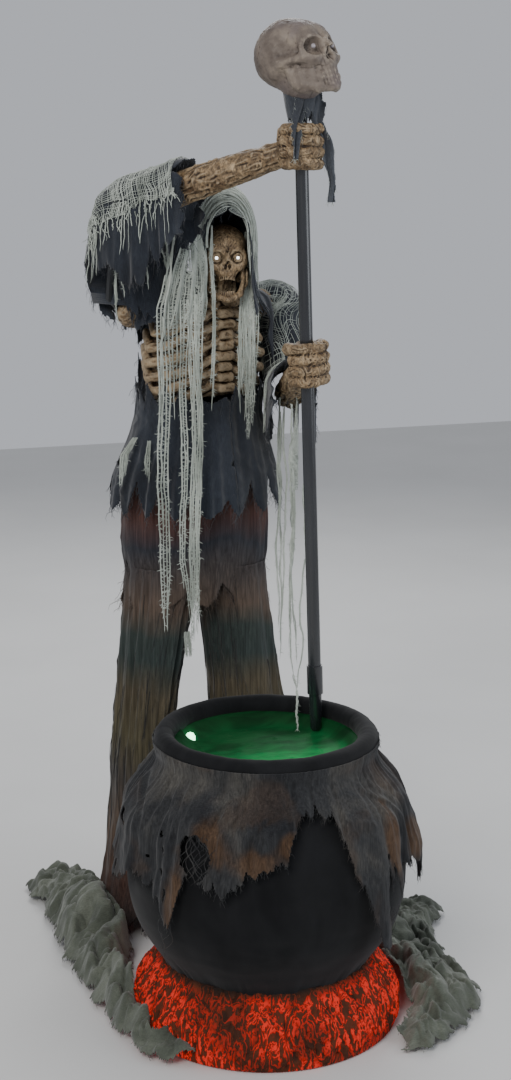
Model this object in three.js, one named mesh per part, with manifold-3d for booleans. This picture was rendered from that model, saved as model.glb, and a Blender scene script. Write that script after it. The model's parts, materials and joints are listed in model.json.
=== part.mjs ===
// Animated skeletal witch that stirs a lit cauldron with a skull-topped staff.
// Millimetres, +Z up, -Y is the front. The origin is on the floor under the cauldron's centre.
import * as THREE from 'three';
import { mergeVertices } from 'three/addons/utils/BufferGeometryUtils.js';
import Module from 'manifold-3d';

const wasm = await Module();
wasm.setup();

// Driving dimensions
const GAP = 0.3; // between solids that touch
const CLOTH = 3.5; // stand-in thickness of every fabric shell

const RIM_Z = 634; // centre of the cauldron's padded rim
const RIM_R = 218;
const RIM_THICK = 21.5;
const BREW_Z = 594; // underside of the brew disc
const BREW_R = 192;
const COAL_TOP_Z = 150;
const COAL_TOP_R = 222;
const COAL_FLOOR_R = 290;
const BELLY_R = 305;
const BELLY_Z = 350;
const NECK_R = 203;
const PLATE_R = 212;
const PLATE_T = 4;

const HIP = new THREE.Vector3(0, 530, 0); // the waist's turning axis
const TORSO_YAW = THREE.MathUtils.degToRad(18);
const HEAD_YAW = THREE.MathUtils.degToRad(-28); // relative to the torso
const LEG_X = { left: 118, right: -122 };
const LEG_Y = 540;
const LEG_JOINT_Z = 470;
const BRACKET_Z = 884;
const GEARBOX_Z = 890;
const GEARBOX_TOP = 958;
const MODULE = 3;
const GEAR_TEETH = 30;
const PINION_TEETH = 10;
const GEAR_Z = 926;
const GEAR_T = 12;
const SPINE_R = 11;
const SHOULDER_Z = 1508;
const SHOULDER_HALF = 205;
const NECK = new THREE.Vector3(15, -95, 0); // the head's turning axis, in the torso's frame
const EYE_Z = 1620;
const HEAD_SCALE = 0.78; // of a full-size skull

const STAFF_FOOT = new THREE.Vector3(-3, -472, 606);
const STAFF_HEAD = new THREE.Vector3(-46, -458, 1962);
const STAFF_R = 14;
const HAND_Z = { right: 1866, left: 1420 };
const WRIST_REACH = 61; // from the staff's axis back to the wrist
const ARM_R = 8;

const LOOKS = {
  slateCloth: { color: 0x2f333b, roughness: 0.95, metalness: 0 },
  gauze: { color: 0x9da39b, roughness: 0.95, metalness: 0 },
  dyedGauze: { color: 0x4a463c, roughness: 0.95, metalness: 0 },
  latex: { color: 0x7d6547, roughness: 0.7, metalness: 0 },
  bone: { color: 0x857b6e, roughness: 0.65, metalness: 0 },
  blackSteel: { color: 0x17181a, roughness: 0.4, metalness: 0.7 },
  blackPlastic: { color: 0x121315, roughness: 0.35, metalness: 0 },
  blackCloth: { color: 0x141516, roughness: 0.9, metalness: 0 },
  greyPlastic: { color: 0x5a5d60, roughness: 0.5, metalness: 0 },
  steel: { color: 0xa7aaad, roughness: 0.3, metalness: 1 },
  brew: { color: 0x3fae3a, roughness: 0.5, metalness: 0 },
  coal: { color: 0x5a140c, roughness: 0.8, metalness: 0 },
  greenLamp: { color: 0xb8ffc0, roughness: 0.2, metalness: 0 },
  redLamp: { color: 0xff4028, roughness: 0.2, metalness: 0 },
  whiteLamp: { color: 0xf2f4ff, roughness: 0.2, metalness: 0 },
};

// Geometry helpers

// Turn a closed geometry's faces outward, judged by its signed volume.
function outward(geometry) {
  const flat = geometry.index ? geometry.toNonIndexed() : geometry;
  const at = flat.attributes.position;
  const [a, b, c] = [new THREE.Vector3(), new THREE.Vector3(), new THREE.Vector3()];
  let volume = 0;
  for (let i = 0; i < at.count; i += 3) {
    a.fromBufferAttribute(at, i);
    b.fromBufferAttribute(at, i + 1);
    c.fromBufferAttribute(at, i + 2);
    volume += a.dot(b.cross(c));
  }
  if (volume >= 0) return geometry;
  const turned = geometry.clone();
  const index = turned.index;
  for (let i = 0; i < index.count; i += 3) {
    const second = index.getX(i + 1);
    index.setX(i + 1, index.getX(i + 2));
    index.setX(i + 2, second);
  }
  return turned;
}

function welded(geometry) {
  const plain = geometry.clone();
  plain.deleteAttribute('normal');
  plain.deleteAttribute('uv');
  return outward(mergeVertices(plain, 1e-4));
}

function solid(geometry) {
  const plain = welded(geometry);
  const vertProperties = new Float32Array(plain.attributes.position.array);
  const triVerts = new Uint32Array(plain.index.array);
  return new wasm.Manifold(new wasm.Mesh({ numProp: 3, vertProperties, triVerts }));
}

function geometryOf(manifold) {
  const mesh = manifold.getMesh();
  const geometry = new THREE.BufferGeometry();
  geometry.setAttribute('position', new THREE.BufferAttribute(mesh.vertProperties, 3));
  geometry.setIndex(new THREE.BufferAttribute(mesh.triVerts, 1));
  geometry.computeVertexNormals();
  return geometry;
}

function cut(geometry, ...tools) {
  let result = solid(geometry);
  for (const tool of tools) result = result.subtract(solid(tool));
  return geometryOf(result);
}

function join(first, ...others) {
  let result = solid(first);
  for (const other of others) result = result.add(solid(other));
  return geometryOf(result);
}

function keep(geometry, region) {
  return geometryOf(solid(geometry).intersect(solid(region)));
}

// An upright cylinder standing on z0.
function post(radius, z0, z1, x = 0, y = 0, sides = 24) {
  const geometry = new THREE.CylinderGeometry(radius, radius, z1 - z0, sides);
  return geometry.rotateX(Math.PI / 2).translate(x, y, (z0 + z1) / 2);
}

function bar(from, to, radius, sides = 16) {
  const along = new THREE.Vector3().subVectors(to, from);
  const geometry = new THREE.CylinderGeometry(radius, radius, along.length(), sides);
  const turn = new THREE.Quaternion();
  turn.setFromUnitVectors(new THREE.Vector3(0, 1, 0), along.clone().normalize());
  const middle = new THREE.Vector3().addVectors(from, to).multiplyScalar(0.5);
  return geometry.applyQuaternion(turn).translate(middle.x, middle.y, middle.z);
}

// A box given by its lowest and highest corners.
function block(low, high) {
  const size = high.map((value, i) => value - low[i]);
  const middle = high.map((value, i) => (value + low[i]) / 2);
  return new THREE.BoxGeometry(...size).translate(...middle);
}

// Turn a profile of [radius, z] about the Z axis.
function turned(profile, sides = 48) {
  const points = profile.map(([r, z]) => new THREE.Vector2(r, z));
  return new THREE.LatheGeometry(points, sides).rotateX(Math.PI / 2);
}

function ring(inner, outer, z0, z1, sides = 32) {
  return turned([[inner, z0], [outer, z0], [outer, z1], [inner, z1], [inner, z0]], sides);
}

function torus(major, minor, z, around = 20, section = 5) {
  return new THREE.TorusGeometry(major, minor, section, around).translate(0, 0, z);
}

function ball(center, radii, across = 20, down = 12) {
  const geometry = new THREE.SphereGeometry(1, across, down).rotateX(Math.PI / 2);
  return geometry.scale(...radii).translate(...center);
}

function circle(radius, sides) {
  const shape = new THREE.Shape();
  for (let i = 0; i < sides; i++) {
    const angle = (2 * Math.PI * i) / sides;
    const [x, y] = [radius * Math.cos(angle), radius * Math.sin(angle)];
    if (i === 0) shape.moveTo(x, y);
    else shape.lineTo(x, y);
  }
  return shape;
}

function sweep(points, radius, steps = 20, sides = 10) {
  const extrudePath = new THREE.CatmullRomCurve3(points.map((p) => new THREE.Vector3(...p)));
  return new THREE.ExtrudeGeometry(circle(radius, sides), { steps, extrudePath });
}

// Skin a stack of elliptical sections { c, u, v }: centre and the two half-axis vectors.
function loft(sections, sides = 24) {
  const points = [];
  const faces = [];
  for (const { c, u, v } of sections) {
    for (let i = 0; i < sides; i++) {
      const angle = (2 * Math.PI * i) / sides;
      const p = c.clone().addScaledVector(u, Math.cos(angle)).addScaledVector(v, Math.sin(angle));
      points.push(p.x, p.y, p.z);
    }
  }
  for (let row = 0; row + 1 < sections.length; row++) {
    for (let i = 0; i < sides; i++) {
      const j = (i + 1) % sides;
      const [a, b] = [row * sides + i, row * sides + j];
      faces.push(a, b, b + sides, a, b + sides, a + sides);
    }
  }
  const last = (sections.length - 1) * sides;
  for (let i = 1; i + 1 < sides; i++) {
    faces.push(0, i + 1, i);
    faces.push(last, last + i, last + i + 1);
  }
  const geometry = new THREE.BufferGeometry();
  geometry.setAttribute('position', new THREE.Float32BufferAttribute(points, 3));
  geometry.setIndex(faces);
  return outward(geometry);
}

// Upright sections from rows of [z, half width, half depth, x, y].
function upright(rows) {
  return rows.map(([z, a, b, x = 0, y = 0]) => ({
    c: new THREE.Vector3(x, y, z),
    u: new THREE.Vector3(a, 0, 0),
    v: new THREE.Vector3(0, b, 0),
  }));
}

// The same sections, smaller by a wall and a little longer at both ends.
function inside(sections, wall) {
  const inner = sections.map(({ c, u, v }) => ({
    c: c.clone(),
    u: u.clone().setLength(u.length() - wall),
    v: v.clone().setLength(v.length() - wall),
  }));
  const push = (end, next) => {
    const out = new THREE.Vector3().subVectors(end.c, next.c).setLength(1);
    end.c.add(out);
  };
  push(inner[0], inner[1]);
  push(inner[inner.length - 1], inner[inner.length - 2]);
  return inner;
}

function shell(sections, wall = CLOTH, sides = 24) {
  return cut(loft(sections, sides), loft(inside(sections, wall), sides));
}

// Sections square to a bent arm: rows of [x, y, z, half width, half drop, hang below the arm].
function alongArm(rows) {
  const at = rows.map(([x, y, z]) => new THREE.Vector3(x, y, z));
  return rows.map(([, , , width, drop, hang = 0], i) => {
    const before = at[Math.max(i - 1, 0)];
    const after = at[Math.min(i + 1, at.length - 1)];
    const along = new THREE.Vector3().subVectors(after, before).normalize();
    const side = new THREE.Vector3(0, 0, 1).cross(along).normalize();
    const down = new THREE.Vector3().crossVectors(side, along).normalize();
    if (down.z > 0) down.negate();
    const c = at[i].clone().addScaledVector(down, hang);
    return { c, u: side.multiplyScalar(width), v: down.multiplyScalar(drop) };
  });
}

function gearShape(teeth, phase) {
  const pitch = (teeth * MODULE) / 2;
  const [root, tip] = [pitch - 1.15 * MODULE, pitch + 0.9 * MODULE];
  const step = (2 * Math.PI) / teeth;
  const shape = new THREE.Shape();
  const corners = [[root, -0.3], [tip, -0.1], [tip, 0.1], [root, 0.3]];
  for (let tooth = 0; tooth < teeth; tooth++) {
    for (const [radius, part] of corners) {
      const angle = phase + (tooth + part) * step;
      const [x, y] = [radius * Math.cos(angle), radius * Math.sin(angle)];
      if (tooth === 0 && part === -0.3) shape.moveTo(x, y);
      else shape.lineTo(x, y);
    }
  }
  return shape;
}

function gear(teeth, phase, bore) {
  const shape = gearShape(teeth, phase);
  const disc = new THREE.ExtrudeGeometry(shape, { depth: GEAR_T, bevelEnabled: false });
  disc.translate(0, 0, GEAR_Z);
  return cut(disc, post(bore, GEAR_Z - 1, GEAR_Z + GEAR_T + 1, 0, 0, 16));
}

const figure = new THREE.Group();
const torso = new THREE.Group();
torso.position.copy(HIP);
torso.rotation.z = TORSO_YAW;
figure.add(torso);
const head = new THREE.Group();
head.position.copy(NECK);
head.rotation.z = HEAD_YAW;
torso.add(head);
const staff = new THREE.Group();
const staffAlong = new THREE.Vector3().subVectors(STAFF_HEAD, STAFF_FOOT);
const STAFF_LENGTH = staffAlong.length();
staff.position.copy(STAFF_FOOT);
staff.quaternion.setFromUnitVectors(new THREE.Vector3(0, 0, 1), staffAlong.clone().normalize());
torso.add(staff);

function add(parent, name, look, geometry) {
  const mesh = new THREE.Mesh(outward(welded(geometry)), new THREE.MeshStandardMaterial(LOOKS[look]));
  mesh.name = name;
  parent.add(mesh);
  return mesh;
}

// The staff's axis at a height, in the torso's frame.
function onStaff(z) {
  const part = (z - STAFF_FOOT.z) / (STAFF_HEAD.z - STAFF_FOOT.z);
  return new THREE.Vector3().lerpVectors(STAFF_FOOT, STAFF_HEAD, part);
}

// Cauldron

const POT_OUTER = [
  [COAL_TOP_R, COAL_TOP_Z + GAP], [280, 232], [BELLY_R, BELLY_Z], [294, 445], [248, 545],
  [NECK_R, 596], [NECK_R, 613],
];

function potRadius(z) {
  const above = POT_OUTER.findIndex((point) => point[1] >= z);
  if (above <= 0) return POT_OUTER[above === 0 ? 0 : POT_OUTER.length - 1][0];
  const [[r0, z0], [r1, z1]] = [POT_OUTER[above - 1], POT_OUTER[above]];
  return r0 + ((r1 - r0) * (z - z0)) / (z1 - z0);
}

function buildBase() {
  add(figure, 'base_plate', 'blackSteel', post(PLATE_R, 0, PLATE_T, 0, 0, 32));

  const rail = block([-11, 0, -1], [11, 330, 22]);
  const coal = [
    [COAL_FLOOR_R, 0], [288, 40], [268, 95], [COAL_TOP_R, COAL_TOP_Z],
    [COAL_TOP_R - 9, COAL_TOP_Z], [257, 95], [276, 40], [278, 0], [COAL_FLOOR_R, 0],
  ];
  add(figure, 'coal_ring', 'coal', cut(turned(coal, 32), rail));

  add(figure, 'cauldron_frame', 'blackSteel', cauldronFrame());
  const inner = POT_OUTER.map(([r, z]) => [r - 4, z]).reverse();
  add(figure, 'cauldron_shell', 'blackCloth', turned([...POT_OUTER, ...inner, POT_OUTER[0]], 28));
  add(figure, 'brew_disc', 'brew', post(BREW_R, BREW_Z, BREW_Z + 4, 0, 0, 32));
  add(figure, 'cauldron_rim', 'blackCloth', torus(RIM_R, RIM_THICK, RIM_Z, 32, 8));

  const lamp = turned([[0, 0], [11, 0], [11, 8], [7, 15], [0, 18]], 16);
  add(figure, 'green_lamp', 'greenLamp', lamp.clone().translate(-133, 124, BREW_Z + 4 + GAP));
  add(figure, 'red_lamp', 'redLamp', lamp.clone().scale(2, 2, 2).translate(0, -150, PLATE_T + GAP));
  add(figure, 'cauldron_drape', 'gauze', drape());
}

// A welded wire frame: feet on the base plate, a low hoop, four bowed ribs and the hoop under the brew.
function cauldronFrame() {
  const lowHoop = { r: 200, z: 163 };
  let frame = solid(torus(lowHoop.r, 4, lowHoop.z));
  frame = frame.add(solid(torus(188, 4, BREW_Z - 4 - GAP)));
  const bow = [[200, 160], [240, 215], [276, 290], [287, 350], [272, 450], [232, 535], [188, 588]];
  for (let i = 0; i < 4; i++) {
    const angle = Math.PI * (0.25 + 0.5 * i);
    const [x, y] = [Math.cos(angle), Math.sin(angle)];
    const foot = post(4, PLATE_T + GAP, lowHoop.z, lowHoop.r * x, lowHoop.r * y, 6);
    const rib = sweep(bow.map(([r, z]) => [r * x, r * y, z]), 3, 7, 5);
    frame = frame.add(solid(foot)).add(solid(rib));
  }
  return geometryOf(frame);
}

// The torn hem's height every ten degrees, from +X towards +Y.
const HEM = [
  380, 355, 330, 370, 410, 420, 360, 300, 350, 395, 395, 350, 330, 365, 400, 420, 400, 375,
  360, 390, 390, 330, 420, 415, 410, 450, 480, 500, 500, 420, 250, 350, 400, 380, 320, 330,
];

// A ragged skirt of gauze gathered over the rim's lower half, just outside the pot.
function drape() {
  const around = HEM.length;
  const levels = [632, 604, 545, 445, BELLY_Z];
  const standOff = { [levels[0]]: RIM_R + RIM_THICK + 2, [levels[1]]: RIM_R + 14 };
  const rows = levels.length + 1;
  const pinch = 4; // rows that would fall below the hem stack up on it, this far apart
  const surface = (offset) => {
    const points = [];
    for (let row = 0; row < rows; row++) {
      for (let i = 0; i < around; i++) {
        const angle = (2 * Math.PI * i) / around;
        const z = Math.max(levels[row] ?? 0, HEM[i] + pinch * (rows - 1 - row));
        const fold = 4 * (1 + Math.sin(9 * angle)) * Math.min(1, row / 3);
        const against = z < BELLY_Z ? BELLY_R : potRadius(z);
        const r = (standOff[z] ?? against + 8 + fold) + offset;
        points.push(r * Math.cos(angle), r * Math.sin(angle), z);
      }
    }
    return points;
  };
  const points = [...surface(CLOTH), ...surface(0)];
  const count = rows * around;
  const last = count - around;
  const faces = [];
  const quad = (a, b, c, d) => faces.push(a, b, c, a, c, d);
  for (let i = 0; i < around; i++) {
    const j = (i + 1) % around;
    for (let row = 0; row + 1 < rows; row++) {
      const [a, b] = [row * around + i, row * around + j];
      quad(a, a + around, b + around, b);
      quad(count + b, count + b + around, count + a + around, count + a);
    }
    quad(i, j, count + j, count + i);
    quad(last + j, last + i, count + last + i, count + last + j);
  }
  const geometry = new THREE.BufferGeometry();
  geometry.setAttribute('position', new THREE.Float32BufferAttribute(points, 3));
  geometry.setIndex(faces);
  return geometry;
}

function floorCloth(outline, height) {
  const shape = new THREE.Shape(outline.map(([x, y]) => new THREE.Vector2(x, y)));
  return new THREE.ExtrudeGeometry(shape, { depth: height, bevelEnabled: false });
}

function buildFloorCloths() {
  const left = [
    [-375, 800], [-262, 860], [-212, 700], [-200, 520], [-215, 330], [-268, 180], [-306, 20],
    [-284, -110], [-226, -215], [-290, -175], [-338, -60], [-352, 120], [-350, 420], [-340, 660],
  ];
  const right = [
    [470, 400], [527, 406], [580, 350], [520, 262], [482, 200], [469, 90], [487, -58], [403, -201],
    [271, -298], [205, -286], [296, -150], [306, -40], [318, 80], [300, 220], [330, 330],
  ];
  add(figure, 'floor_cloth_left', 'gauze', floorCloth(left, 16));
  add(figure, 'floor_cloth_right', 'gauze', floorCloth(right, 16));
}

// Legs and drive

function buildLegs() {
  add(figure, 'base_link_tube', 'blackSteel', bar(
    new THREE.Vector3(0, PLATE_R + GAP + 0.5, 10), new THREE.Vector3(0, LEG_Y - 8 - GAP, 10), 8));
  const railFrom = LEG_Y - 110;
  const railTo = LEG_Y + 150;
  let foot = solid(bar(
    new THREE.Vector3(LEG_X.right, LEG_Y, 10), new THREE.Vector3(LEG_X.left, LEG_Y, 10), 8));
  for (const x of Object.values(LEG_X)) {
    foot = foot.add(solid(block([x - 10, railFrom, 0], [x + 10, railTo, 20])));
  }
  add(figure, 'rear_foot_frame', 'blackSteel', geometryOf(foot));

  for (const [side, x] of Object.entries(LEG_X)) {
    const outer = ring(11.2, 13, 20 + GAP, LEG_JOINT_Z, 16).translate(x, LEG_Y, 0);
    const inner = ring(8.6, 10.6, LEG_JOINT_Z - 70, BRACKET_Z - GAP, 16).translate(x, LEG_Y, 0);
    const buttonAt = (y) => new THREE.Vector3(x, LEG_Y + y, LEG_JOINT_Z - 30);
    const hole = bar(buttonAt(-20), buttonAt(0), 3.9);
    const button = bar(buttonAt(-15.5), buttonAt(-3), 3.4);
    add(figure, `leg_tube_lower_${side}`, 'blackSteel', cut(outer, hole));
    add(figure, `leg_tube_upper_${side}`, 'steel', cut(inner, hole));
    add(figure, `leg_button_${side}`, 'steel', button);
  }

  const plate = block([-136, HIP.y - 22, BRACKET_Z], [132, HIP.y + 36, GEARBOX_Z - GAP]);
  add(figure, 'hip_bracket', 'blackSteel', plate);
}

function buildTrousers() {
  const waist = [
    [868, 152, 104, 0, 538], [930, 166, 112, 0, 536], [1000, 168, 116, 0, 534], [1096, 158, 110, 0, 532],
  ];
  const right = [
    [24, 92, 108, -168, 545], [60, 78, 100, -160, 545], [200, 64, 82, -150, 545],
    [480, 62, 78, -132, 542], [760, 66, 84, -96, 540], [900, 74, 96, -74, 538],
  ];
  const left = [
    [24, 126, 122, 180, 540], [60, 112, 112, 172, 542], [200, 96, 96, 160, 544],
    [480, 84, 88, 134, 542], [760, 72, 88, 98, 540], [900, 74, 96, 76, 538],
  ];
  const parts = [waist, right, left].map(upright);
  let outer = solid(loft(parts[0], 14));
  for (const leg of parts.slice(1)) outer = outer.add(solid(loft(leg, 14)));
  let result = outer;
  for (const part of parts) result = result.subtract(solid(loft(inside(part, 4), 14)));
  add(figure, 'trousers', 'dyedGauze', geometryOf(result));
}

function buildGearbox() {
  const [x, front, back] = [58, HIP.y - 58, HIP.y + 84];
  const pinionY = HIP.y + (MODULE * (GEAR_TEETH + PINION_TEETH)) / 2 + 0.4;
  const housing = block([-x, front, GEARBOX_Z], [x, back, GEARBOX_TOP]);
  const room = block([-x + 3, front + 3, GEARBOX_Z + 3], [x - 3, back - 3, GEARBOX_TOP + 5]);
  const cover = block([-x, front, GEARBOX_TOP + GAP], [x, back, GEARBOX_TOP + 5]);
  const hole = post(SPINE_R + 0.5, GEARBOX_TOP - 5, GEARBOX_TOP + 10, HIP.x, HIP.y);
  const boss = ring(SPINE_R + 0.5, SPINE_R + 6, GEARBOX_Z + 3 + GAP, GEARBOX_Z + 18, 24);
  add(figure, 'gearbox_housing', 'greyPlastic', cut(housing, room));
  add(figure, 'gearbox_cover', 'greyPlastic', cut(cover, hole));
  add(figure, 'lower_bearing', 'steel', boss.translate(HIP.x, HIP.y, 0));
  const motor = turned([[0, 0], [17, 0], [17, 24], [3, 24], [3, 38], [0, 38]], 20);
  add(figure, 'gear_motor', 'steel', motor.translate(0, pinionY, GEARBOX_Z + 3 + GAP));
  const pinion = gear(PINION_TEETH, -Math.PI / 2 + Math.PI / PINION_TEETH, 3.4);
  add(figure, 'drive_pinion', 'steel', pinion.translate(0, pinionY, 0));
  add(torso, 'waist_gear', 'greyPlastic', gear(GEAR_TEETH, Math.PI / 2 - TORSO_YAW, SPINE_R + GAP));
}

function buildControls() {
  const low = [22, 318, 0];
  const high = [132, 388, 40];
  const box = block(low, high);
  const room = block([low[0] + 3, low[1] + 3, 3], [high[0] - 3, high[1] + 1, high[2] - 3]);
  const slot = block([68, 345, 30], [86, 351, 45]);
  const inlet = bar(new THREE.Vector3(low[0] - 1, 350, 18), new THREE.Vector3(low[0] + 8, 350, 18), 4);
  add(figure, 'control_box', 'blackPlastic', cut(box, room, slot, inlet));
  const cap = block([69, 345.5, 34], [75, 350.5, 43]);
  add(figure, 'mode_switch', 'greyPlastic', cap);
  const door = block([low[0] + 3.6, high[1] - 2.5, 3.6], [high[0] - 3.6, high[1] - 0.2, high[2] - 3.6]);
  add(figure, 'battery_door', 'blackPlastic', door);
}

// Torso

function buildTorso() {
  const spine = [
    [0, GEARBOX_Z + 3 + 2 * GAP], [SPINE_R, GEARBOX_Z + 3 + 2 * GAP], [SPINE_R, GEARBOX_TOP + 5 + GAP],
    [20, GEARBOX_TOP + 5 + GAP], [20, GEARBOX_TOP + 17], [SPINE_R, GEARBOX_TOP + 17],
    [SPINE_R, SHOULDER_Z - 10 - GAP], [0, SHOULDER_Z - 10 - GAP],
  ];
  add(torso, 'spine_tube', 'blackSteel', turned(spine, 20));

  const cage = upright([
    [1318, 132, 86, 0, -30], [1350, 150, 98, 0, -30], [1420, 152, 100, 0, -30], [1490, 118, 82, 0, -30],
  ]);
  let chest = solid(shell(cage, 6, 20));
  const back = block([-200, -30 + GAP / 2, 1200], [200, 200, 1600]);
  const front = block([-200, -300, 1200], [200, -30 - GAP / 2, 1600]);
  add(torso, 'chest_back', 'latex', geometryOf(chest.intersect(solid(back))));
  for (let rib = 0; rib < 4; rib++) {
    const z = 1344 + 36 * rib;
    for (const side of [-1, 1]) {
      const slot = block([24, -200, z], [135, -45, z + 13]).scale(side, 1, 1);
      chest = chest.subtract(solid(slot));
    }
  }
  add(torso, 'chest_front', 'latex', geometryOf(chest.intersect(solid(front))));

  const reach = SHOULDER_HALF;
  add(torso, 'shoulder_bar', 'blackSteel', bar(
    new THREE.Vector3(-reach, 0, SHOULDER_Z), new THREE.Vector3(reach, 0, SHOULDER_Z), 10));
  const neck = [
    [0, -10.4, SHOULDER_Z], [0, -30, SHOULDER_Z], [8, -70, 1518],
    [NECK.x, NECK.y, 1546], [NECK.x, NECK.y, 1578], [NECK.x, NECK.y, 1612],
  ];
  add(torso, 'neck_tube', 'latex', sweep(neck, 9, 12, 8));

  const capeRows = upright([
    [1330, 168, 118, 0, -20], [1420, 172, 118, 0, -20], [1500, 170, 98, 0, -18], [1524, 130, 80, 0, -18],
    [1546, 84, 60, 0, -18],
  ]);
  const openFront = block([-140, -300, 1200], [140, -30, 1700]);
  const bareRibs = block([-300, -300, 1200], [0, 60, 1468]);
  const barHole = bar(new THREE.Vector3(-300, 0, SHOULDER_Z), new THREE.Vector3(300, 0, SHOULDER_Z), 12);
  add(torso, 'shoulder_cape', 'slateCloth', cut(shell(capeRows, CLOTH, 16), openFront, bareRibs, barHole));

  const tunicRows = upright([
    [1042, 196, 160], [1105, 192, 156], [1200, 164, 132, 0, -12], [1308, 156, 116, 0, -24],
  ]);
  add(torso, 'tunic', 'slateCloth', shell(tunicRows, CLOTH, 18));
}

// Arms

const ARMS = {
  right: {
    bend: [[-224, 0, 1509], [-240, -30, 1600], [-252, -88, 1728]],
    skin: [36, 34, 27],
    sleeve: [
      [-232, -14, 1560, 46, 46], [-243, -45, 1650, 50, 50], [-246, -95, 1728, 54, 58, 8],
      [-210, -162, 1756, 56, 72, 22], [-172, -230, 1781, 56, 82, 33],
    ],
  },
  left: {
    bend: [[224, 0, 1506], [218, -45, 1420], [182, -120, 1290]],
    skin: [34, 32, 26],
    sleeve: [
      [232, -18, 1478, 44, 44], [216, -58, 1400, 46, 46], [190, -122, 1298, 52, 58, 8],
      [148, -174, 1310, 54, 70, 20], [108, -228, 1330, 54, 80, 31],
    ],
  },
};

function buildArm(side) {
  const sign = side === 'right' ? -1 : 1;
  const { bend, skin, sleeve } = ARMS[side];
  const grip = onStaff(HAND_Z[side]);
  const elbow = new THREE.Vector3(...bend[bend.length - 1]);
  const forward = new THREE.Vector3().subVectors(grip, elbow).normalize();
  const wrist = grip.clone().addScaledVector(forward, -WRIST_REACH);
  const early = elbow.clone().addScaledVector(forward, 60);
  const late = new THREE.Vector3().lerpVectors(early, wrist, 0.5);
  const start = [sign * (SHOULDER_HALF + 2), 0, SHOULDER_Z];
  const route = [start, ...bend, early.toArray(), late.toArray(), wrist.toArray()];
  add(torso, `${side}_arm_tube`, 'blackSteel', sweep(route, ARM_R, 16, 7));

  const skinFrom = elbow.clone().addScaledVector(forward, 110);
  const rows = skin.map((radius, i) => {
    const p = new THREE.Vector3().lerpVectors(skinFrom, wrist, i / (skin.length - 1));
    return [...p.toArray(), radius, radius];
  });
  const bore = bar(early, grip, ARM_R + 3, 12);
  add(torso, `${side}_forearm`, 'latex', cut(loft(alongArm(rows), 12), bore));
  add(torso, `${side}_sleeve`, 'slateCloth', shell(alongArm(sleeve), CLOTH, 14));

  const hand = fist().applyMatrix4(new THREE.Matrix4().makeRotationZ(Math.atan2(-forward.y, -forward.x)));
  const along = HAND_Z[side] - STAFF_FOOT.z;
  add(staff, `${side}_hand`, 'latex', hand.translate(0, 0, along * (STAFF_LENGTH / staffAlong.z)));
}

// A fist round the staff, thicker on its palm side (+X), with a bulge for each finger.
function fist() {
  const pitch = 22.6;
  const rows = [[-46, 27, 27, 3]];
  for (let finger = 0; finger < 4; finger++) {
    const z = (finger - 1.5) * pitch;
    rows.push([z, 42, 39, 5]);
    if (finger < 3) rows.push([z + pitch / 2, 37, 35, 5]);
  }
  rows.push([46, 27, 27, 3]);
  return cut(loft(upright(rows), 14), post(STAFF_R + GAP, -70, 70));
}

// Staff, in a frame whose Z axis is the staff's

function skull() {
  const cranium = ball([0, 14, 20], [70, 82, 73], 16, 9);
  const face = loft(upright([
    [34, 56, 40, 0, -38], [0, 52, 42, 0, -40], [-30, 38, 36, 0, -46], [-52, 30, 28, 0, -52],
  ]), 16);
  const sockets = [-1, 1].map((side) => ball([side * 30, -82, 4], [19, 22, 18], 8, 6));
  const nose = ball([0, -90, -16], [9, 12, 14], 8, 5);
  return cut(join(cranium, face), ...sockets, nose);
}

function buildStaff() {
  const jointAt = 742;
  const tipLength = 34;
  const top = STAFF_LENGTH;
  const lower = ring(STAFF_R - 2.5, STAFF_R, tipLength + GAP, jointAt, 24);
  const upper = ring(STAFF_R - 2.5, STAFF_R, jointAt + GAP, top, 24);
  add(staff, 'staff_lower_tube', 'blackPlastic', lower);
  add(staff, 'staff_upper_tube', 'blackPlastic', upper);
  add(staff, 'staff_spigot', 'blackPlastic', post(STAFF_R - 2.8, jointAt - 40, jointAt + 40));
  add(staff, 'staff_collar', 'blackPlastic', ring(STAFF_R + GAP, STAFF_R + 3.5, 86, 150, 24));
  const tip = [[0, 0], [9, 0], [13, 6], [13, tipLength], [0, tipLength]];
  add(staff, 'staff_tip', 'blackPlastic', turned(tip, 24));

  const skullTilt = THREE.MathUtils.degToRad(-20);
  const skullYaw = THREE.MathUtils.degToRad(14);
  const place = (geometry) => geometry.rotateX(skullTilt).rotateZ(skullYaw).translate(-4, 0, top + 74);
  const chin = loft(upright([[-71, 22, 22, 0, -50], [-60, 27, 27, 0, -52], [-48, 24, 22, 0, -54]]), 14);
  const bone = join(skull(), chin);
  add(staff, 'staff_skull', 'bone', place(bone));
  for (const side of [-1, 1]) {
    const name = side < 0 ? 'staff_eye_right' : 'staff_eye_left';
    add(staff, name, 'whiteLamp', place(ball([side * 30, -70.5, 4], [5, 5, 5], 8, 6)));
  }
  add(staff, 'staff_neck_wrap', 'slateCloth', ring(STAFF_R + GAP, 25, top - 44, top - 0.6, 20));
}

// Head

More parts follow.
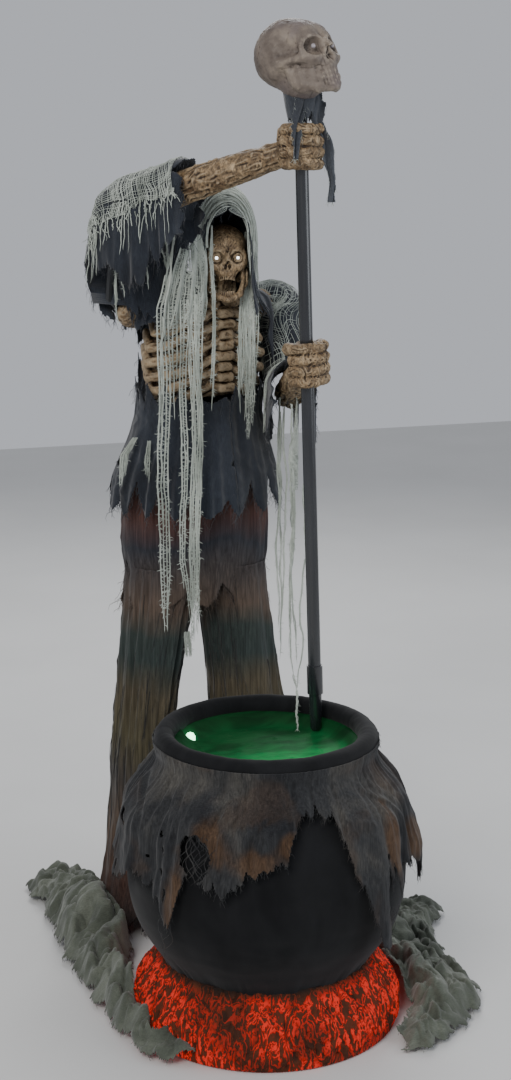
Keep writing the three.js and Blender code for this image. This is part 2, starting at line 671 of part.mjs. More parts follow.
function buildHead() {
  const up = EYE_Z - 4 * HEAD_SCALE;
  const place = (geometry) => geometry.scale(HEAD_SCALE, HEAD_SCALE, HEAD_SCALE).translate(0, -22, up);
  const socket = post(10.5, 1400, 1614);
  const whole = cut(place(skull()), socket);
  const split = -14;
  add(head, 'face_shell', 'latex', keep(whole, block([-200, -300, 1400], [200, split - GAP / 2, 1800])));
  add(head, 'head_back', 'latex', keep(whole, block([-200, split + GAP / 2, 1400], [200, 300, 1800])));
  for (const side of [-1, 1]) {
    const name = side < 0 ? 'eye_right' : 'eye_left';
    add(head, name, 'whiteLamp', place(ball([side * 30, -70.5, 4], [6, 6, 6], 8, 6)));
  }
  add(head, 'jaw', 'latex', sweep([
    [-49, -40, 1588], [-45, -46, 1566], [-34, -66, 1540], [-16, -84, 1529], [0, -88, 1527],
    [16, -84, 1529], [34, -66, 1540], [45, -46, 1566], [49, -40, 1588],
  ], 6, 14, 8));

  const hoodRows = upright([
    [1554, 68, 84, 0, -16], [1610, 66, 84, 0, -18], [1680, 63, 82, 0, -18], [1730, 50, 66, 0, -16],
    [1758, 34, 44, 0, -14], [1771, 14, 20, 0, -12],
  ]);
  const inner = upright([
    [1553, 64.5, 80.5, 0, -16], [1610, 62.5, 80.5, 0, -18], [1680, 59.5, 78.5, 0, -18],
    [1728, 46.5, 62, 0, -16], [1754, 31, 40, 0, -14], [1765, 12, 16, 0, -12],
  ]);
  const opening = loft(upright([
    [1500, 46, 90, 0, -110], [1670, 44, 90, 0, -110], [1712, 26, 80, 0, -110], [1724, 8, 60, 0, -110],
  ]), 14);
  add(head, 'hood', 'slateCloth', cut(loft(hoodRows, 14), loft(inner, 14), opening));
}

buildBase();
buildFloorCloths();
buildLegs();
buildTrousers();
buildGearbox();
buildControls();
buildTorso();
buildArm('right');
buildArm('left');
buildStaff();
buildHead();

export default figure;
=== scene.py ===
"""Looks for an animated skeletal witch that stirs a lit cauldron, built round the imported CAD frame.

Metres, +Z up, -Y is the front. Sculpted pieces are distance fields turned into meshes, cloths are
curved sheets with torn edges, and the gauze is threads. Each cloth's shape is a function place(u, v)
for u and v from 0 to 1, and keep(u, v, points) says which of its faces are not torn away.
"""
import json
import math

import bpy
import numpy as np
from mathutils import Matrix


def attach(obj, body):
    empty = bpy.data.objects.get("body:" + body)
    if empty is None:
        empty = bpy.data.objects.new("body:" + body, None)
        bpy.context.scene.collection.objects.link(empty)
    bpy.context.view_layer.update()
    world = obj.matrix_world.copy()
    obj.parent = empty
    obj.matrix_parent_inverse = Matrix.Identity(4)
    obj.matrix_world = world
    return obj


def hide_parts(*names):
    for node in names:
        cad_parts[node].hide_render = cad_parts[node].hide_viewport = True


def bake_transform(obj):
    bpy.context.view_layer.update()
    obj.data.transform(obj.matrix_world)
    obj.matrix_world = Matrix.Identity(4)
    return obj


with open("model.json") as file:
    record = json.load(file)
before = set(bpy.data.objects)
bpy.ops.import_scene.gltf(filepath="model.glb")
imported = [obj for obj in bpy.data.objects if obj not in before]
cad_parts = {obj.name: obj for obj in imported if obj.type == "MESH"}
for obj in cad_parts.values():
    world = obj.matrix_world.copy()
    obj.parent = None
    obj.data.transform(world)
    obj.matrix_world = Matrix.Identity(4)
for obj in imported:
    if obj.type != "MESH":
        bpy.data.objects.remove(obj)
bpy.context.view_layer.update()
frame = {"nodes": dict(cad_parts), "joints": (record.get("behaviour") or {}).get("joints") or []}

import openvdb
from mathutils import Matrix, Vector

MM = 0.001
CLOTH_THICK = 0.0016
STRIP_STEP = 0.006  # between the points along a gauze strip

# Frames: the torso turns about the hip and the head about the neck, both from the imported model's joints.
# The yaws are the rest pose's; STAFF_FOOT and STAFF_TOP are in the torso's frame.
JOINTS = {joint["name"]: joint for joint in frame["joints"]}
HIP = Vector(JOINTS["waist_turn"]["pos_m"])
TORSO_YAW = math.radians(18)
HEAD_YAW = math.radians(-28)
TORSO = Matrix.Translation((HIP.x, HIP.y, 0)) @ Matrix.Rotation(TORSO_YAW, 4, "Z")
NECK_AXIS = TORSO.inverted() @ Vector(JOINTS["neck_turn"]["pos_m"])
HEAD = TORSO @ Matrix.Translation((NECK_AXIS.x, NECK_AXIS.y, 0)) @ Matrix.Rotation(HEAD_YAW, 4, "Z")
STAFF_FOOT = Vector((-0.003, -0.472, 0.606))
STAFF_TOP = Vector((-0.046, -0.458, 1.962))
STAFF_TURN = Vector((0, 0, 1)).rotation_difference(STAFF_TOP - STAFF_FOOT).to_matrix().to_4x4()
STAFF = TORSO @ Matrix.Translation(STAFF_FOOT) @ STAFF_TURN
STAFF_LENGTH = (STAFF_TOP - STAFF_FOOT).length


# ---------------------------------------------------------------- numbers and noise

def lattice(seed):
    return np.random.default_rng(seed).random((32, 32, 32), dtype=np.float32)


def value_noise(points, scale, seed):
    """Smooth noise from 0 to 1; scale is a length or one length per axis."""
    table = lattice(seed)
    q = np.asarray(points, np.float32) / np.asarray(scale, np.float32)
    cell = np.floor(q).astype(np.int32)
    part = q - cell
    part = part * part * (3 - 2 * part)
    total = np.zeros(q.shape[:-1], np.float32)
    for dx in (0, 1):
        for dy in (0, 1):
            for dz in (0, 1):
                weight = (part[..., 0] if dx else 1 - part[..., 0])
                weight = weight * (part[..., 1] if dy else 1 - part[..., 1])
                weight = weight * (part[..., 2] if dz else 1 - part[..., 2])
                corner = (cell + (dx, dy, dz)) % 32
                total += weight * table[corner[..., 0], corner[..., 1], corner[..., 2]]
    return total


def fbm(points, scale, seed, octaves=3):
    """Layered value noise, from 0 to 1, each layer half the size and half the strength of the last."""
    total, size, norm = 0, 1.0, 0
    for octave in range(octaves):
        total = total + size * value_noise(points, np.asarray(scale) * 0.5 ** octave, seed + octave)
        norm += size
        size *= 0.5
    return total / norm


def smooth(x, low, high):
    """0 at low to 1 at high, eased at both ends; low may be the larger."""
    t = np.clip((x - low) / (high - low), 0, 1)
    return t * t * (3 - 2 * t)


def mapped(matrix, points):
    """An array of points moved by a 4 x 4 matrix."""
    m = np.array(matrix)
    return np.asarray(points) @ m[:3, :3].T + m[:3, 3]


# ---------------------------------------------------------------- distance fields

def capsule(p, a, b, r0, r1=None):
    a, b = np.asarray(a, np.float32), np.asarray(b, np.float32)
    r1 = r0 if r1 is None else r1
    along = b - a
    t = np.clip(((p - a) @ along) / (along @ along), 0, 1)
    return np.linalg.norm(p - a - t[..., None] * along, axis=-1) - (r0 + (r1 - r0) * t)


def chain(p, points, radii):
    """Joined capsules through a list of points."""
    d = capsule(p, points[0], points[1], radii[0], radii[1])
    for i in range(1, len(points) - 1):
        d = np.minimum(d, capsule(p, points[i], points[i + 1], radii[i], radii[i + 1]))
    return d


def ellipsoid(p, centre, radii):
    q = (p - np.asarray(centre, np.float32)) / np.asarray(radii, np.float32)
    k0 = np.linalg.norm(q, axis=-1)
    k1 = np.linalg.norm(q / np.asarray(radii, np.float32), axis=-1) + 1e-9
    return k0 * (k0 - 1) / k1


def round_box(p, centre, half, radius):
    q = np.abs(p - np.asarray(centre, np.float32)) - (np.asarray(half, np.float32) - radius)
    return np.linalg.norm(np.maximum(q, 0), axis=-1) + np.minimum(q.max(-1), 0) - radius


def blend_in(a, b, k):
    """The union of two distances with a soft joint of width k."""
    h = np.clip(0.5 + 0.5 * (b - a) / k, 0, 1)
    return b + (a - b) * h - k * h * (1 - h)


def carve(a, b, k):
    """Cut b out of a with a soft edge of width k."""
    return -blend_in(-a, b, k)


def mirrored(p):
    """The points folded on to the +X side, so that one shape makes a left and a right."""
    q = p.copy()
    q[..., 0] = np.abs(q[..., 0])
    return q


# ---------------------------------------------------------------- meshes

def mesh_object(name, points, faces, material):
    mesh = bpy.data.meshes.new(name)
    points = np.asarray(points, np.float32)
    faces = np.asarray(faces, np.int32)
    mesh.vertices.add(len(points))
    mesh.vertices.foreach_set("co", points.ravel())
    corners = faces.shape[1]
    mesh.loops.add(faces.size)
    mesh.loops.foreach_set("vertex_index", faces.ravel())
    mesh.polygons.add(len(faces))
    mesh.polygons.foreach_set("loop_start", np.arange(0, faces.size, corners, dtype=np.int32))
    mesh.polygons.foreach_set("use_smooth", np.full(len(faces), True))
    mesh.update(calc_edges=True)
    mesh.validate()
    mesh.materials.append(material)
    obj = bpy.data.objects.new(name, mesh)
    bpy.context.scene.collection.objects.link(obj)
    return obj


def corners_of(obj):
    points = np.empty(len(obj.data.vertices) * 3)
    obj.data.vertices.foreach_get("co", points)
    return points.reshape(-1, 3)


def store(obj, name, values):
    attribute = obj.data.attributes.new(name, "FLOAT", "POINT")
    attribute.data.foreach_set("value", np.clip(values, 0, 1).astype(np.float32))


def signed_volume(points, faces):
    a, b, c = points[faces[:, 0]], points[faces[:, 1]], points[faces[:, 2]]
    volume = np.einsum("ij,ij->i", a, np.cross(b, c)).sum()
    if faces.shape[1] == 4:
        volume += np.einsum("ij,ij->i", a, np.cross(c, points[faces[:, 3]])).sum()
    return volume


def vertex_normals(points, faces):
    a, b, c = points[faces[:, 0]], points[faces[:, 1]], points[faces[:, 2]]
    normal = np.cross(c - a, points[faces[:, -1]] - b)
    total = np.zeros_like(points)
    for corner in range(faces.shape[1]):
        np.add.at(total, faces[:, corner], normal)
    return total / (np.linalg.norm(total, axis=1, keepdims=True) + 1e-12)


def smoothed(points, faces, rounds):
    """Neighbour average, repeated: used to find hollows."""
    pairs = np.vstack([faces[:, [i, (i + 1) % faces.shape[1]]] for i in range(faces.shape[1])])
    count = np.zeros(len(points))
    np.add.at(count, pairs[:, 0], 1)
    np.add.at(count, pairs[:, 1], 1)
    current = points
    for _ in range(rounds):
        total = np.zeros_like(current)
        np.add.at(total, pairs[:, 0], current[pairs[:, 1]])
        np.add.at(total, pairs[:, 1], current[pairs[:, 0]])
        current = total / count[:, None]
    return current


def sculpt(name, low, high, voxel, field, matrix, material, relief=None):
    """Mesh a distance field, press relief into it along its normals, and store how hollow each point is."""
    low = np.asarray(low, np.float32)
    axes = [np.arange(low[i], high[i] + voxel, voxel, dtype=np.float32) for i in range(3)]
    grid = np.stack(np.meshgrid(*axes, indexing="ij"), -1)
    volume = openvdb.FloatGrid(background=1.0)
    volume.copyFromArray(np.ascontiguousarray(field(grid), dtype=np.float32))
    points, faces = volume.convertToQuads(0.0)
    points = low + points.astype(np.float64) * voxel
    faces = faces.astype(np.int32)
    if signed_volume(points, faces) < 0:
        faces = faces[:, ::-1]
    points = points * 0.4 + smoothed(points, faces, 1) * 0.6
    if relief is not None:
        normals = vertex_normals(points, faces)
        points = points + normals * relief(points)[:, None]
    normals = vertex_normals(points, faces)
    hollow = np.einsum("ij,ij->i", smoothed(points, faces, 6) - points, normals) / (1.2 * MM)
    obj = mesh_object(name, mapped(matrix, points), faces, material)
    store(obj, "hollow", 0.5 + 0.5 * hollow)
    return obj


def threads(name, paths, radius, material, sides=5):
    """One mesh of tapering threads. A path is its points; radius is one number or one per path."""
    all_points, all_faces, start = [], [], 0
    radii = np.broadcast_to(radius, (len(paths),))
    ring = np.linspace(0, 2 * math.pi, sides, endpoint=False)
    for path, size in zip(paths, radii):
        path = np.asarray(path, float)
        count = len(path)
        tangent = np.gradient(path, axis=0)
        tangent /= np.linalg.norm(tangent, axis=1, keepdims=True) + 1e-12
        reference = np.eye(3)[np.argmin(np.abs(tangent.mean(0)))] + 0.13
        side = np.cross(tangent, reference)
        side /= np.linalg.norm(side, axis=1, keepdims=True) + 1e-12
        other = np.cross(tangent, side)
        taper = np.clip(1.15 - 0.75 * np.linspace(0, 1, count) ** 3, 0.3, 1) * size
        taper[-1] *= 0.25
        circle = side[:, None] * np.cos(ring)[None, :, None] + other[:, None] * np.sin(ring)[None, :, None]
        points = (path[:, None] + circle * taper[:, None, None]).reshape(-1, 3)
        row, around = np.meshgrid(np.arange(count - 1), np.arange(sides), indexing="ij")
        a = row * sides + around
        b = row * sides + (around + 1) % sides
        quads = np.stack([a, a + sides, b + sides, b], -1).reshape(-1, 4)
        all_points.append(points)
        all_faces.append(quads + start)
        start += len(points)
    return mesh_object(name, np.vstack(all_points), np.vstack(all_faces), material)


def without_islands(kept, around):
    """The kept cells of a grid less any small group that has come loose from the rest, flattened."""
    columns, rows = kept.shape
    group = np.zeros(kept.shape, int)
    sizes = [0]
    for start in zip(*np.nonzero(kept)):
        if group[start]:
            continue
        sizes.append(0)
        group[start] = len(sizes) - 1
        waiting = [start]
        while waiting:
            i, j = waiting.pop()
            sizes[-1] += 1
            for a, b in ((i + 1, j), (i - 1, j), (i, j + 1), (i, j - 1)):
                a = a % columns if around else a
                if 0 <= a < columns and 0 <= b < rows and kept[a, b] and not group[a, b]:
                    group[a, b] = len(sizes) - 1
                    waiting.append((a, b))
    return (np.array(sizes)[group] > 0.02 * kept.sum()).ravel()


def sheet(name, place, columns, rows, material, thick=0.0012, keep=None, around=False):
    """A cloth from place(u, v) for u, v in 0..1; keep(u, v, points) says which faces stay."""
    u_count = columns if around else columns + 1
    u, v = np.meshgrid(np.arange(u_count) / columns, np.arange(rows + 1) / rows, indexing="ij")
    points = place(u.ravel(), v.ravel())
    i, j = np.meshgrid(np.arange(columns), np.arange(rows), indexing="ij")
    next_i = (i + 1) % u_count
    quads = np.stack([i * (rows + 1) + j, next_i * (rows + 1) + j, next_i * (rows + 1) + j + 1,
                      i * (rows + 1) + j + 1], -1).reshape(-1, 4)
    if keep is not None:
        middle = points[quads].mean(1)
        mu = ((i + 0.5) / columns).ravel()
        mv = ((j + 0.5) / rows).ravel()
        quads = quads[without_islands(keep(mu, mv, middle).reshape(columns, rows), around)]
    used, quads = np.unique(quads, return_inverse=True)
    obj = mesh_object(name, points[used], quads.reshape(-1, 4), material)
    if thick:
        solidify = obj.modifiers.new("thickness", "SOLIDIFY")
        solidify.thickness = thick
        solidify.offset = 0
    return obj


def wander(start, end, count, sway, seed, bow=(0, 0, 0)):
    """A thread's route: a line from start to end with a bow in it and smooth sideways sway."""
    t = np.linspace(0, 1, count)[:, None]
    line = np.asarray(start) * (1 - t) + np.asarray(end) * t + np.asarray(bow) * 4 * t * (1 - t)
    rng = np.random.default_rng(seed)
    for turns in (1, 2.3, 5.1):
        phase = rng.uniform(0, 2 * math.pi, 3)
        line = line + sway / turns * np.sin(turns * 2 * math.pi * t + phase) * np.minimum(1, 6 * t)
    return line


def barbs(paths, per_metre, length, seed):
    """Short stray fibres that stand out from the threads."""
    rng = np.random.default_rng(seed)
    out = []
    for path in paths:
        path = np.asarray(path)
        reach = np.linalg.norm(np.diff(path, axis=0), axis=1).sum()
        for _ in range(int(reach * per_metre)):
            at = rng.uniform(0.1, 0.98) * (len(path) - 1)
            low = int(at)
            base = path[low] + (path[min(low + 1, len(path) - 1)] - path[low]) * (at - low)
            way = rng.normal(size=3) * (1, 1, 0.35)
            way /= np.linalg.norm(way)
            tip = base + way * length * rng.uniform(0.4, 1.2) + (0, 0, -0.3 * length)
            middle = (base + tip) / 2 + rng.normal(size=3) * length * 0.15
            out.append(np.array([base, middle, tip]))
    return out


def bundle(routes, fibres, spread, seed):
    """Several fibres that twist round each route."""
    rng = np.random.default_rng(seed)
    out = []
    for route in routes:
        t = np.linspace(0, 1, len(route))[:, None]
        for _ in range(fibres):
            phase = rng.uniform(0, 2 * math.pi, 3)
            turns = rng.uniform(2, 5)
            drift = np.sin(turns * 2 * math.pi * t + phase) * spread * rng.uniform(0.4, 1.2)
            cut = int(len(route) * rng.uniform(0.82, 1.0))
            out.append((route + drift)[:max(cut, 4)])
    return out


def strip(route, width, cords, seed, ragged=0.25, pitch=0.0065):
    """A torn strip of loose gauze: cords side by side, the short threads that join them, and stray ends.

    route is its middle line's corners; width is the strip's width at each of them.
    """
    rng = np.random.default_rng(seed)
    corners = np.asarray(route, float)
    reach = np.append(0, np.cumsum(np.linalg.norm(np.diff(corners, axis=0), axis=1)))
    at = np.arange(0, reach[-1], STRIP_STEP)
    spine = np.stack([np.interp(at, reach, corners[:, i]) for i in range(3)], -1)
    wide = np.interp(at, reach, width)[:, None]
    swing = np.sin(at[:, None] * (17, 23, 0) + rng.uniform(0, 6, 3)) * (0.0022, 0.0022, 0)
    spine += swing * smooth(at, 0, 0.08)[:, None]
    across = np.array((math.cos(TORSO_YAW), math.sin(TORSO_YAW), 0)) + rng.normal(size=3) * (0.08, 0.08, 0)
    lanes = []
    for share in np.linspace(-0.5, 0.5, cords):
        sway = value_noise(np.column_stack([at * 26, at * 0 + share * 7, at * 0]), 1.0, seed) - 0.5
        depth = value_noise(np.column_stack([at * 40, at * 0 + share * 9, at * 0 + 5]), 1.0, seed) - 0.5
        lane = spine + across * (share * wide + sway[:, None] * 0.0035) + np.outer(depth, (0.0, 0.0045, 0))
        lanes.append(lane[:max(8, int(len(lane) * (1 - ragged * rng.random() ** 1.6)))])
    rungs = []
    for one, other in zip(lanes, lanes[1:]):
        last = min(len(one), len(other)) - 3
        step = pitch / STRIP_STEP
        for k in np.arange(2, last, step):
            if rng.random() < 0.82:
                a, b = one[int(k)], other[min(int(k + rng.integers(-1, 2)), last)]
                rungs.append(np.array([a, (a + b) / 2 + (0, 0, -0.0015 * rng.random()), b]))
    stray = barbs(lanes[:1] + lanes[-1:], 170, 0.0100, seed + 1)
    return lanes, rungs, stray


def strips_object(name, made, cord, rung, stray):
    """One gauze piece from several strips; the last three values are the threads' radii."""
    rng = np.random.default_rng(len(made))
    lanes, rungs, strays = [sum((part[i] for part in made), []) for i in range(3)]
    fibres = bundle(lanes, 2, cord * 1.1, 7)
    radii = np.concatenate([cord * rng.uniform(0.75, 1.3, len(lanes)),
                            cord * rng.uniform(0.35, 0.6, len(fibres)),
                            rung * rng.uniform(0.6, 1.3, len(rungs)),
                            stray * rng.uniform(0.6, 1.3, len(strays))])
    return threads(name, lanes + fibres + rungs + strays, radii, GAUZE, sides=4)


def ride_as(obj, body, slot, *nodes):
    """Fix a piece to a body and hide the CAD nodes that it stands for; slot is not used."""
    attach(obj, body)
    if nodes:
        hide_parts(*nodes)


# ---------------------------------------------------------------- materials

class Look:
    """A node material built up from small steps; patterns use the piece's own coordinates."""

    def __init__(self, name, roughness=0.8, metallic=0.0, sheen=0.0, specular=0.5):
        self.material = bpy.data.materials.new(name)
        self.material.use_nodes = True
        self.nodes = self.material.node_tree.nodes
        self.links = self.material.node_tree.links
        self.shader = self.nodes["Principled BSDF"]
        self.shader.inputs["Roughness"].default_value = roughness
        self.shader.inputs["Metallic"].default_value = metallic
        self.shader.inputs["Sheen Weight"].default_value = sheen
        self.shader.inputs["Specular IOR Level"].default_value = specular
        self.where = self.nodes.new("ShaderNodeTexCoord").outputs["Object"]
        self.relief = None

    def link(self, source, node, socket):
        self.links.new(source, node.inputs[socket])

    def stretched(self, factors):
        node = self.nodes.new("ShaderNodeMapping")
        node.inputs["Scale"].default_value = factors
        self.link(self.where, node, "Vector")
        return node.outputs["Vector"]

    def noise(self, scale, detail=4, stretch=(1, 1, 1), warp=0.0, roughness=0.55):
        node = self.nodes.new("ShaderNodeTexNoise")
        node.inputs["Scale"].default_value = scale
        node.inputs["Detail"].default_value = detail
        node.inputs["Roughness"].default_value = roughness
        node.inputs["Distortion"].default_value = warp
        self.link(self.stretched(stretch), node, "Vector")
        return node.outputs["Fac"]

    def cracks(self, scale, stretch=(1, 1, 1)):
        node = self.nodes.new("ShaderNodeTexVoronoi")
        node.feature = "DISTANCE_TO_EDGE"
        node.inputs["Scale"].default_value = scale
        self.link(self.stretched(stretch), node, "Vector")
        return node.outputs["Distance"]

    def bands(self, direction, scale, warp=0.0):
        node = self.nodes.new("ShaderNodeTexWave")
        node.bands_direction = direction
        node.inputs["Scale"].default_value = scale
        node.inputs["Distortion"].default_value = warp
        node.inputs["Detail Scale"].default_value = 3
        self.link(self.where, node, "Vector")
        return node.outputs["Fac"]

    def height(self):
        node = self.nodes.new("ShaderNodeSeparateXYZ")
        self.link(self.where, node, "Vector")
        return node.outputs["Z"]

    def attribute(self, name):
        node = self.nodes.new("ShaderNodeAttribute")
        node.attribute_name = name
        return node.outputs["Fac"]

    def ramp(self, value, stops):
        node = self.nodes.new("ShaderNodeValToRGB")
        elements = node.color_ramp.elements
        while len(elements) < len(stops):
            elements.new(0.5)
        for element, (position, colour) in zip(elements, stops):
            element.position = position
            element.color = (*colour, 1)
        self.link(value, node, "Fac")
        return node.outputs["Color"]

    def mask(self, value, low, high):
        node = self.nodes.new("ShaderNodeMapRange")
        node.interpolation_type = "SMOOTHSTEP"
        node.inputs["From Min"].default_value = low
        node.inputs["From Max"].default_value = high
        self.link(value, node, "Value")
        return node.outputs["Result"]

    def math(self, operation, a, b):
        node = self.nodes.new("ShaderNodeMath")
        node.operation = operation
        for socket, value in ((0, a), (1, b)):
            if isinstance(value, (int, float)):
                node.inputs[socket].default_value = value
            else:
                self.link(value, node, socket)
        return node.outputs["Value"]

    def mix(self, factor, a, b, how="MIX"):
        node = self.nodes.new("ShaderNodeMix")
        node.data_type = "RGBA"
        node.blend_type = how
        for socket, value in ((0, factor), (6, a), (7, b)):
            if isinstance(value, (int, float)):
                node.inputs[socket].default_value = value
            elif isinstance(value, tuple):
                node.inputs[socket].default_value = (*value, 1)
            else:
                self.links.new(value, node.inputs[socket])
        return node.outputs[2]

    def bump(self, height, strength, distance):
        node = self.nodes.new("ShaderNodeBump")
        node.inputs["Strength"].default_value = strength
        node.inputs["Distance"].default_value = distance
        self.link(height, node, "Height")
        if self.relief is not None:
            self.link(self.relief, node, "Normal")
        self.relief = node.outputs["Normal"]
        self.link(self.relief, self.shader, "Normal")

    def colour(self, source):
        self.link(source, self.shader, "Base Color")

    def rough(self, value, low, high):
        node = self.nodes.new("ShaderNodeMapRange")
        node.inputs["To Min"].default_value = low
        node.inputs["To Max"].default_value = high
        self.link(value, node, "Value")
        self.link(node.outputs["Result"], self.shader, "Roughness")

    def glow(self, source, strength):
        self.shader.inputs["Emission Strength"].default_value = strength
        self.link(source, self.shader, "Emission Color")


def weave(look, pitch, strength=0.5):
    """Crossing threads plus fine fuzz, as relief."""
    warp = look.bands("Z", 0.16 / pitch, 0.6)
    weft = look.bands("DIAGONAL", 0.16 / pitch, 0.6)
    look.bump(look.math("ADD", warp, weft), strength, pitch * 0.5)
    look.bump(look.noise(900, 3), 0.25, 0.0006)


def slate_cloth(name, dark, middle, light):
    look = Look(name, roughness=0.92, sheen=0.25, specular=0.2)
    tone = look.ramp(look.noise(9, 5, (1, 1, 0.35), 0.4), [(0.3, dark), (0.55, middle), (0.8, light)])
    fuzz = look.ramp(look.noise(420, 2, (1, 1, 0.2)), [(0.35, (0.55, 0.55, 0.58)), (0.7, (1, 1, 1))])
    look.colour(look.mix(0.8, tone, fuzz, "MULTIPLY"))
    weave(look, 0.0012)
    return look.material


def gauze():
    look = Look("pale_gauze", roughness=0.95, sheen=0.35, specular=0.15)
    tone = look.ramp(look.noise(24, 5, (1, 1, 0.3)),
                     [(0.3, (0.29, 0.32, 0.28)), (0.5, (0.47, 0.51, 0.46)), (0.75, (0.62, 0.66, 0.6))])
    fibre = look.ramp(look.noise(700, 3, (1, 1, 0.12)), [(0.3, (0.5, 0.52, 0.5)), (0.6, (1, 1, 1))])
    look.colour(look.mix(0.7, tone, fibre, "MULTIPLY"))
    look.bump(look.noise(800, 3, (1, 1, 0.15)), 0.6, 0.0008)
    return look.material


def dyed_gauze():
    look = Look("dyed_gauze", roughness=0.95, sheen=0.12, specular=0.12)
    stops = [(0.0, (0.030, 0.029, 0.030)), (0.12, (0.058, 0.034, 0.028)), (0.26, (0.085, 0.060, 0.044)),
             (0.40, (0.050, 0.044, 0.040)), (0.50, (0.072, 0.064, 0.040)), (0.60, (0.078, 0.066, 0.045)),
             (0.67, (0.034, 0.045, 0.043)), (0.73, (0.036, 0.046, 0.043)), (0.79, (0.090, 0.066, 0.052)),
             (0.86, (0.060, 0.050, 0.048)), (0.93, (0.026, 0.028, 0.036)), (1.0, (0.080, 0.040, 0.034))]
    wave = look.math("MULTIPLY", look.noise(4, 3, (1, 1, 0.6), 0.4), 0.22)
    level = look.math("ADD", look.math("MULTIPLY", look.height(), 0.98), wave)
    tone = look.ramp(look.math("SUBTRACT", level, 0.11), stops)
    runs = look.ramp(look.noise(230, 5, (1, 1, 0.03), 0.2),
                     [(0.3, (0.5, 0.48, 0.46)), (0.5, (0.95, 0.95, 0.93)), (0.72, (1.6, 1.56, 1.5))])
    look.colour(look.mix(0.8, tone, runs, "MULTIPLY"))
    look.bump(look.noise(260, 4, (1, 1, 0.05), 0.3), 0.6, 0.0012)
    weave(look, 0.0018, 0.25)
    return look.material


def torn_gauze():
    look = Look("torn_gauze", roughness=0.95, sheen=0.12, specular=0.12)
    slate = look.ramp(look.noise(9, 5, (1, 1, 0.45), 0.6),
                      [(0.3, (0.014, 0.015, 0.018)), (0.5, (0.031, 0.032, 0.034)),
                       (0.66, (0.064, 0.061, 0.056)), (0.82, (0.125, 0.117, 0.104))])
    rust = look.ramp(look.noise(16, 4, (1, 1, 0.6)),
                     [(0.35, (0.042, 0.024, 0.014)), (0.7, (0.095, 0.060, 0.039))])
    spread = look.mask(look.noise(5.0, 3, (1, 1, 0.8), 0.8), 0.50, 0.64)
    patch = look.math("MAXIMUM", look.attribute("rust"), look.math("MULTIPLY", spread, 0.35))
    runs = look.ramp(look.noise(300, 5, (1, 1, 0.06), 0.4),
                     [(0.3, (0.45, 0.45, 0.45)), (0.55, (1, 1, 1)), (0.75, (1.6, 1.58, 1.52))])
    look.colour(look.mix(0.8, look.mix(patch, slate, rust), runs, "MULTIPLY"))
    look.bump(look.noise(280, 4, (1, 1, 0.08), 0.4), 0.7, 0.0012)
    weave(look, 0.0018, 0.2)
    return look.material


def floor_gauze():
    look = Look("floor_gauze", roughness=0.95, sheen=0.2, specular=0.15)
    tone = look.ramp(look.noise(10, 5, warp=0.6),
                     [(0.28, (0.050, 0.057, 0.045)), (0.5, (0.096, 0.107, 0.085)),
                      (0.75, (0.175, 0.188, 0.155))])
    runs = look.ramp(look.noise(420, 4, (0.35, 1, 1), 0.6),
                     [(0.3, (0.62, 0.62, 0.62)), (0.6, (1.12, 1.12, 1.12))])
    look.colour(look.mix(0.7, tone, runs, "MULTIPLY"))
    look.bump(look.noise(110, 5, (0.5, 1, 1), 0.5), 0.5, 0.002)
    look.bump(look.noise(520, 4, (0.5, 1, 1), 0.4), 0.6, 0.0010)
    return look.material


def latex():
    look = Look("mummified_latex", roughness=0.62, specular=0.35)
    tone = look.ramp(look.noise(34, 6, warp=0.9), [(0.3, (0.085, 0.052, 0.027)), (0.5, (0.2, 0.14, 0.08)),
                                                   (0.68, (0.34, 0.255, 0.16)), (0.85, (0.5, 0.41, 0.29))])
    fibre = look.noise(150, 6, (1, 1, 0.5), 1.6)
    strands = look.ramp(fibre,
                        [(0.36, (0.3, 0.26, 0.22)), (0.5, (0.9, 0.88, 0.85)), (0.64, (1.5, 1.42, 1.3))])
    under_highlight_tone = look.mix(0.85, tone, strands, "MULTIPLY")
    # Painted shade and painted highlight: the hollows are darkened towards near black where shade would fall,
    # and the raised parts are lightened to pale tan as a highlight.
    hollow = look.mask(look.attribute("hollow"), 0.45, 0.8)
    raised = look.mask(look.attribute("hollow"), 0.42, 0.12)
    look.colour(look.mix(look.math("MULTIPLY", raised, 0.45), look.mix(hollow, under_highlight_tone, (0.022, 0.012, 0.006)),
                         (0.46, 0.37, 0.25)))
    look.bump(fibre, 0.7, 0.0016)
    look.bump(look.noise(520, 4, warp=0.6), 0.35, 0.0006)
    look.rough(fibre, 0.42, 0.8)
    return look.material


def bone():
    look = Look("old_bone", roughness=0.55, specular=0.4)
    tone = look.ramp(look.noise(20, 6, warp=0.6),
                     [(0.28, (0.078, 0.060, 0.050)), (0.5, (0.168, 0.137, 0.113)),
                      (0.72, (0.31, 0.258, 0.200))])
    bloom = look.mask(look.noise(8, 3, warp=0.5), 0.44, 0.64)
    mottled = look.mix(look.math("MULTIPLY", bloom, 0.6), tone, (0.135, 0.108, 0.108))
    line = look.mask(look.cracks(11), 0.022, 0.0)
    broken = look.math("MULTIPLY", line, look.mask(look.noise(11, 2), 0.50, 0.60))
    cracked = look.mix(look.math("MULTIPLY", broken, 0.6), mottled, (0.05, 0.036, 0.03))
    # Painted shade and painted highlight: the hollows are darkened towards near black where shade would fall,
    # and the raised parts are lightened to pale bone as a highlight; the cracks and mottling mixed in before
    # that are the bone's own colour.
    hollow = look.mask(look.attribute("hollow"), 0.52, 0.85)
    raised = look.mask(look.attribute("hollow"), 0.42, 0.12)
    under_highlight_tone = look.mix(hollow, cracked, (0.04, 0.027, 0.021))
    look.colour(look.mix(look.math("MULTIPLY", raised, 0.4), under_highlight_tone, (0.42, 0.36, 0.28)))
    look.bump(look.math("MULTIPLY", broken, -1.0), 0.4, 0.0008)
    look.bump(look.noise(110, 6, warp=0.8), 0.6, 0.0014)
    look.bump(look.noise(620, 3), 0.3, 0.0004)
    look.rough(look.noise(40, 4), 0.42, 0.72)
    return look.material


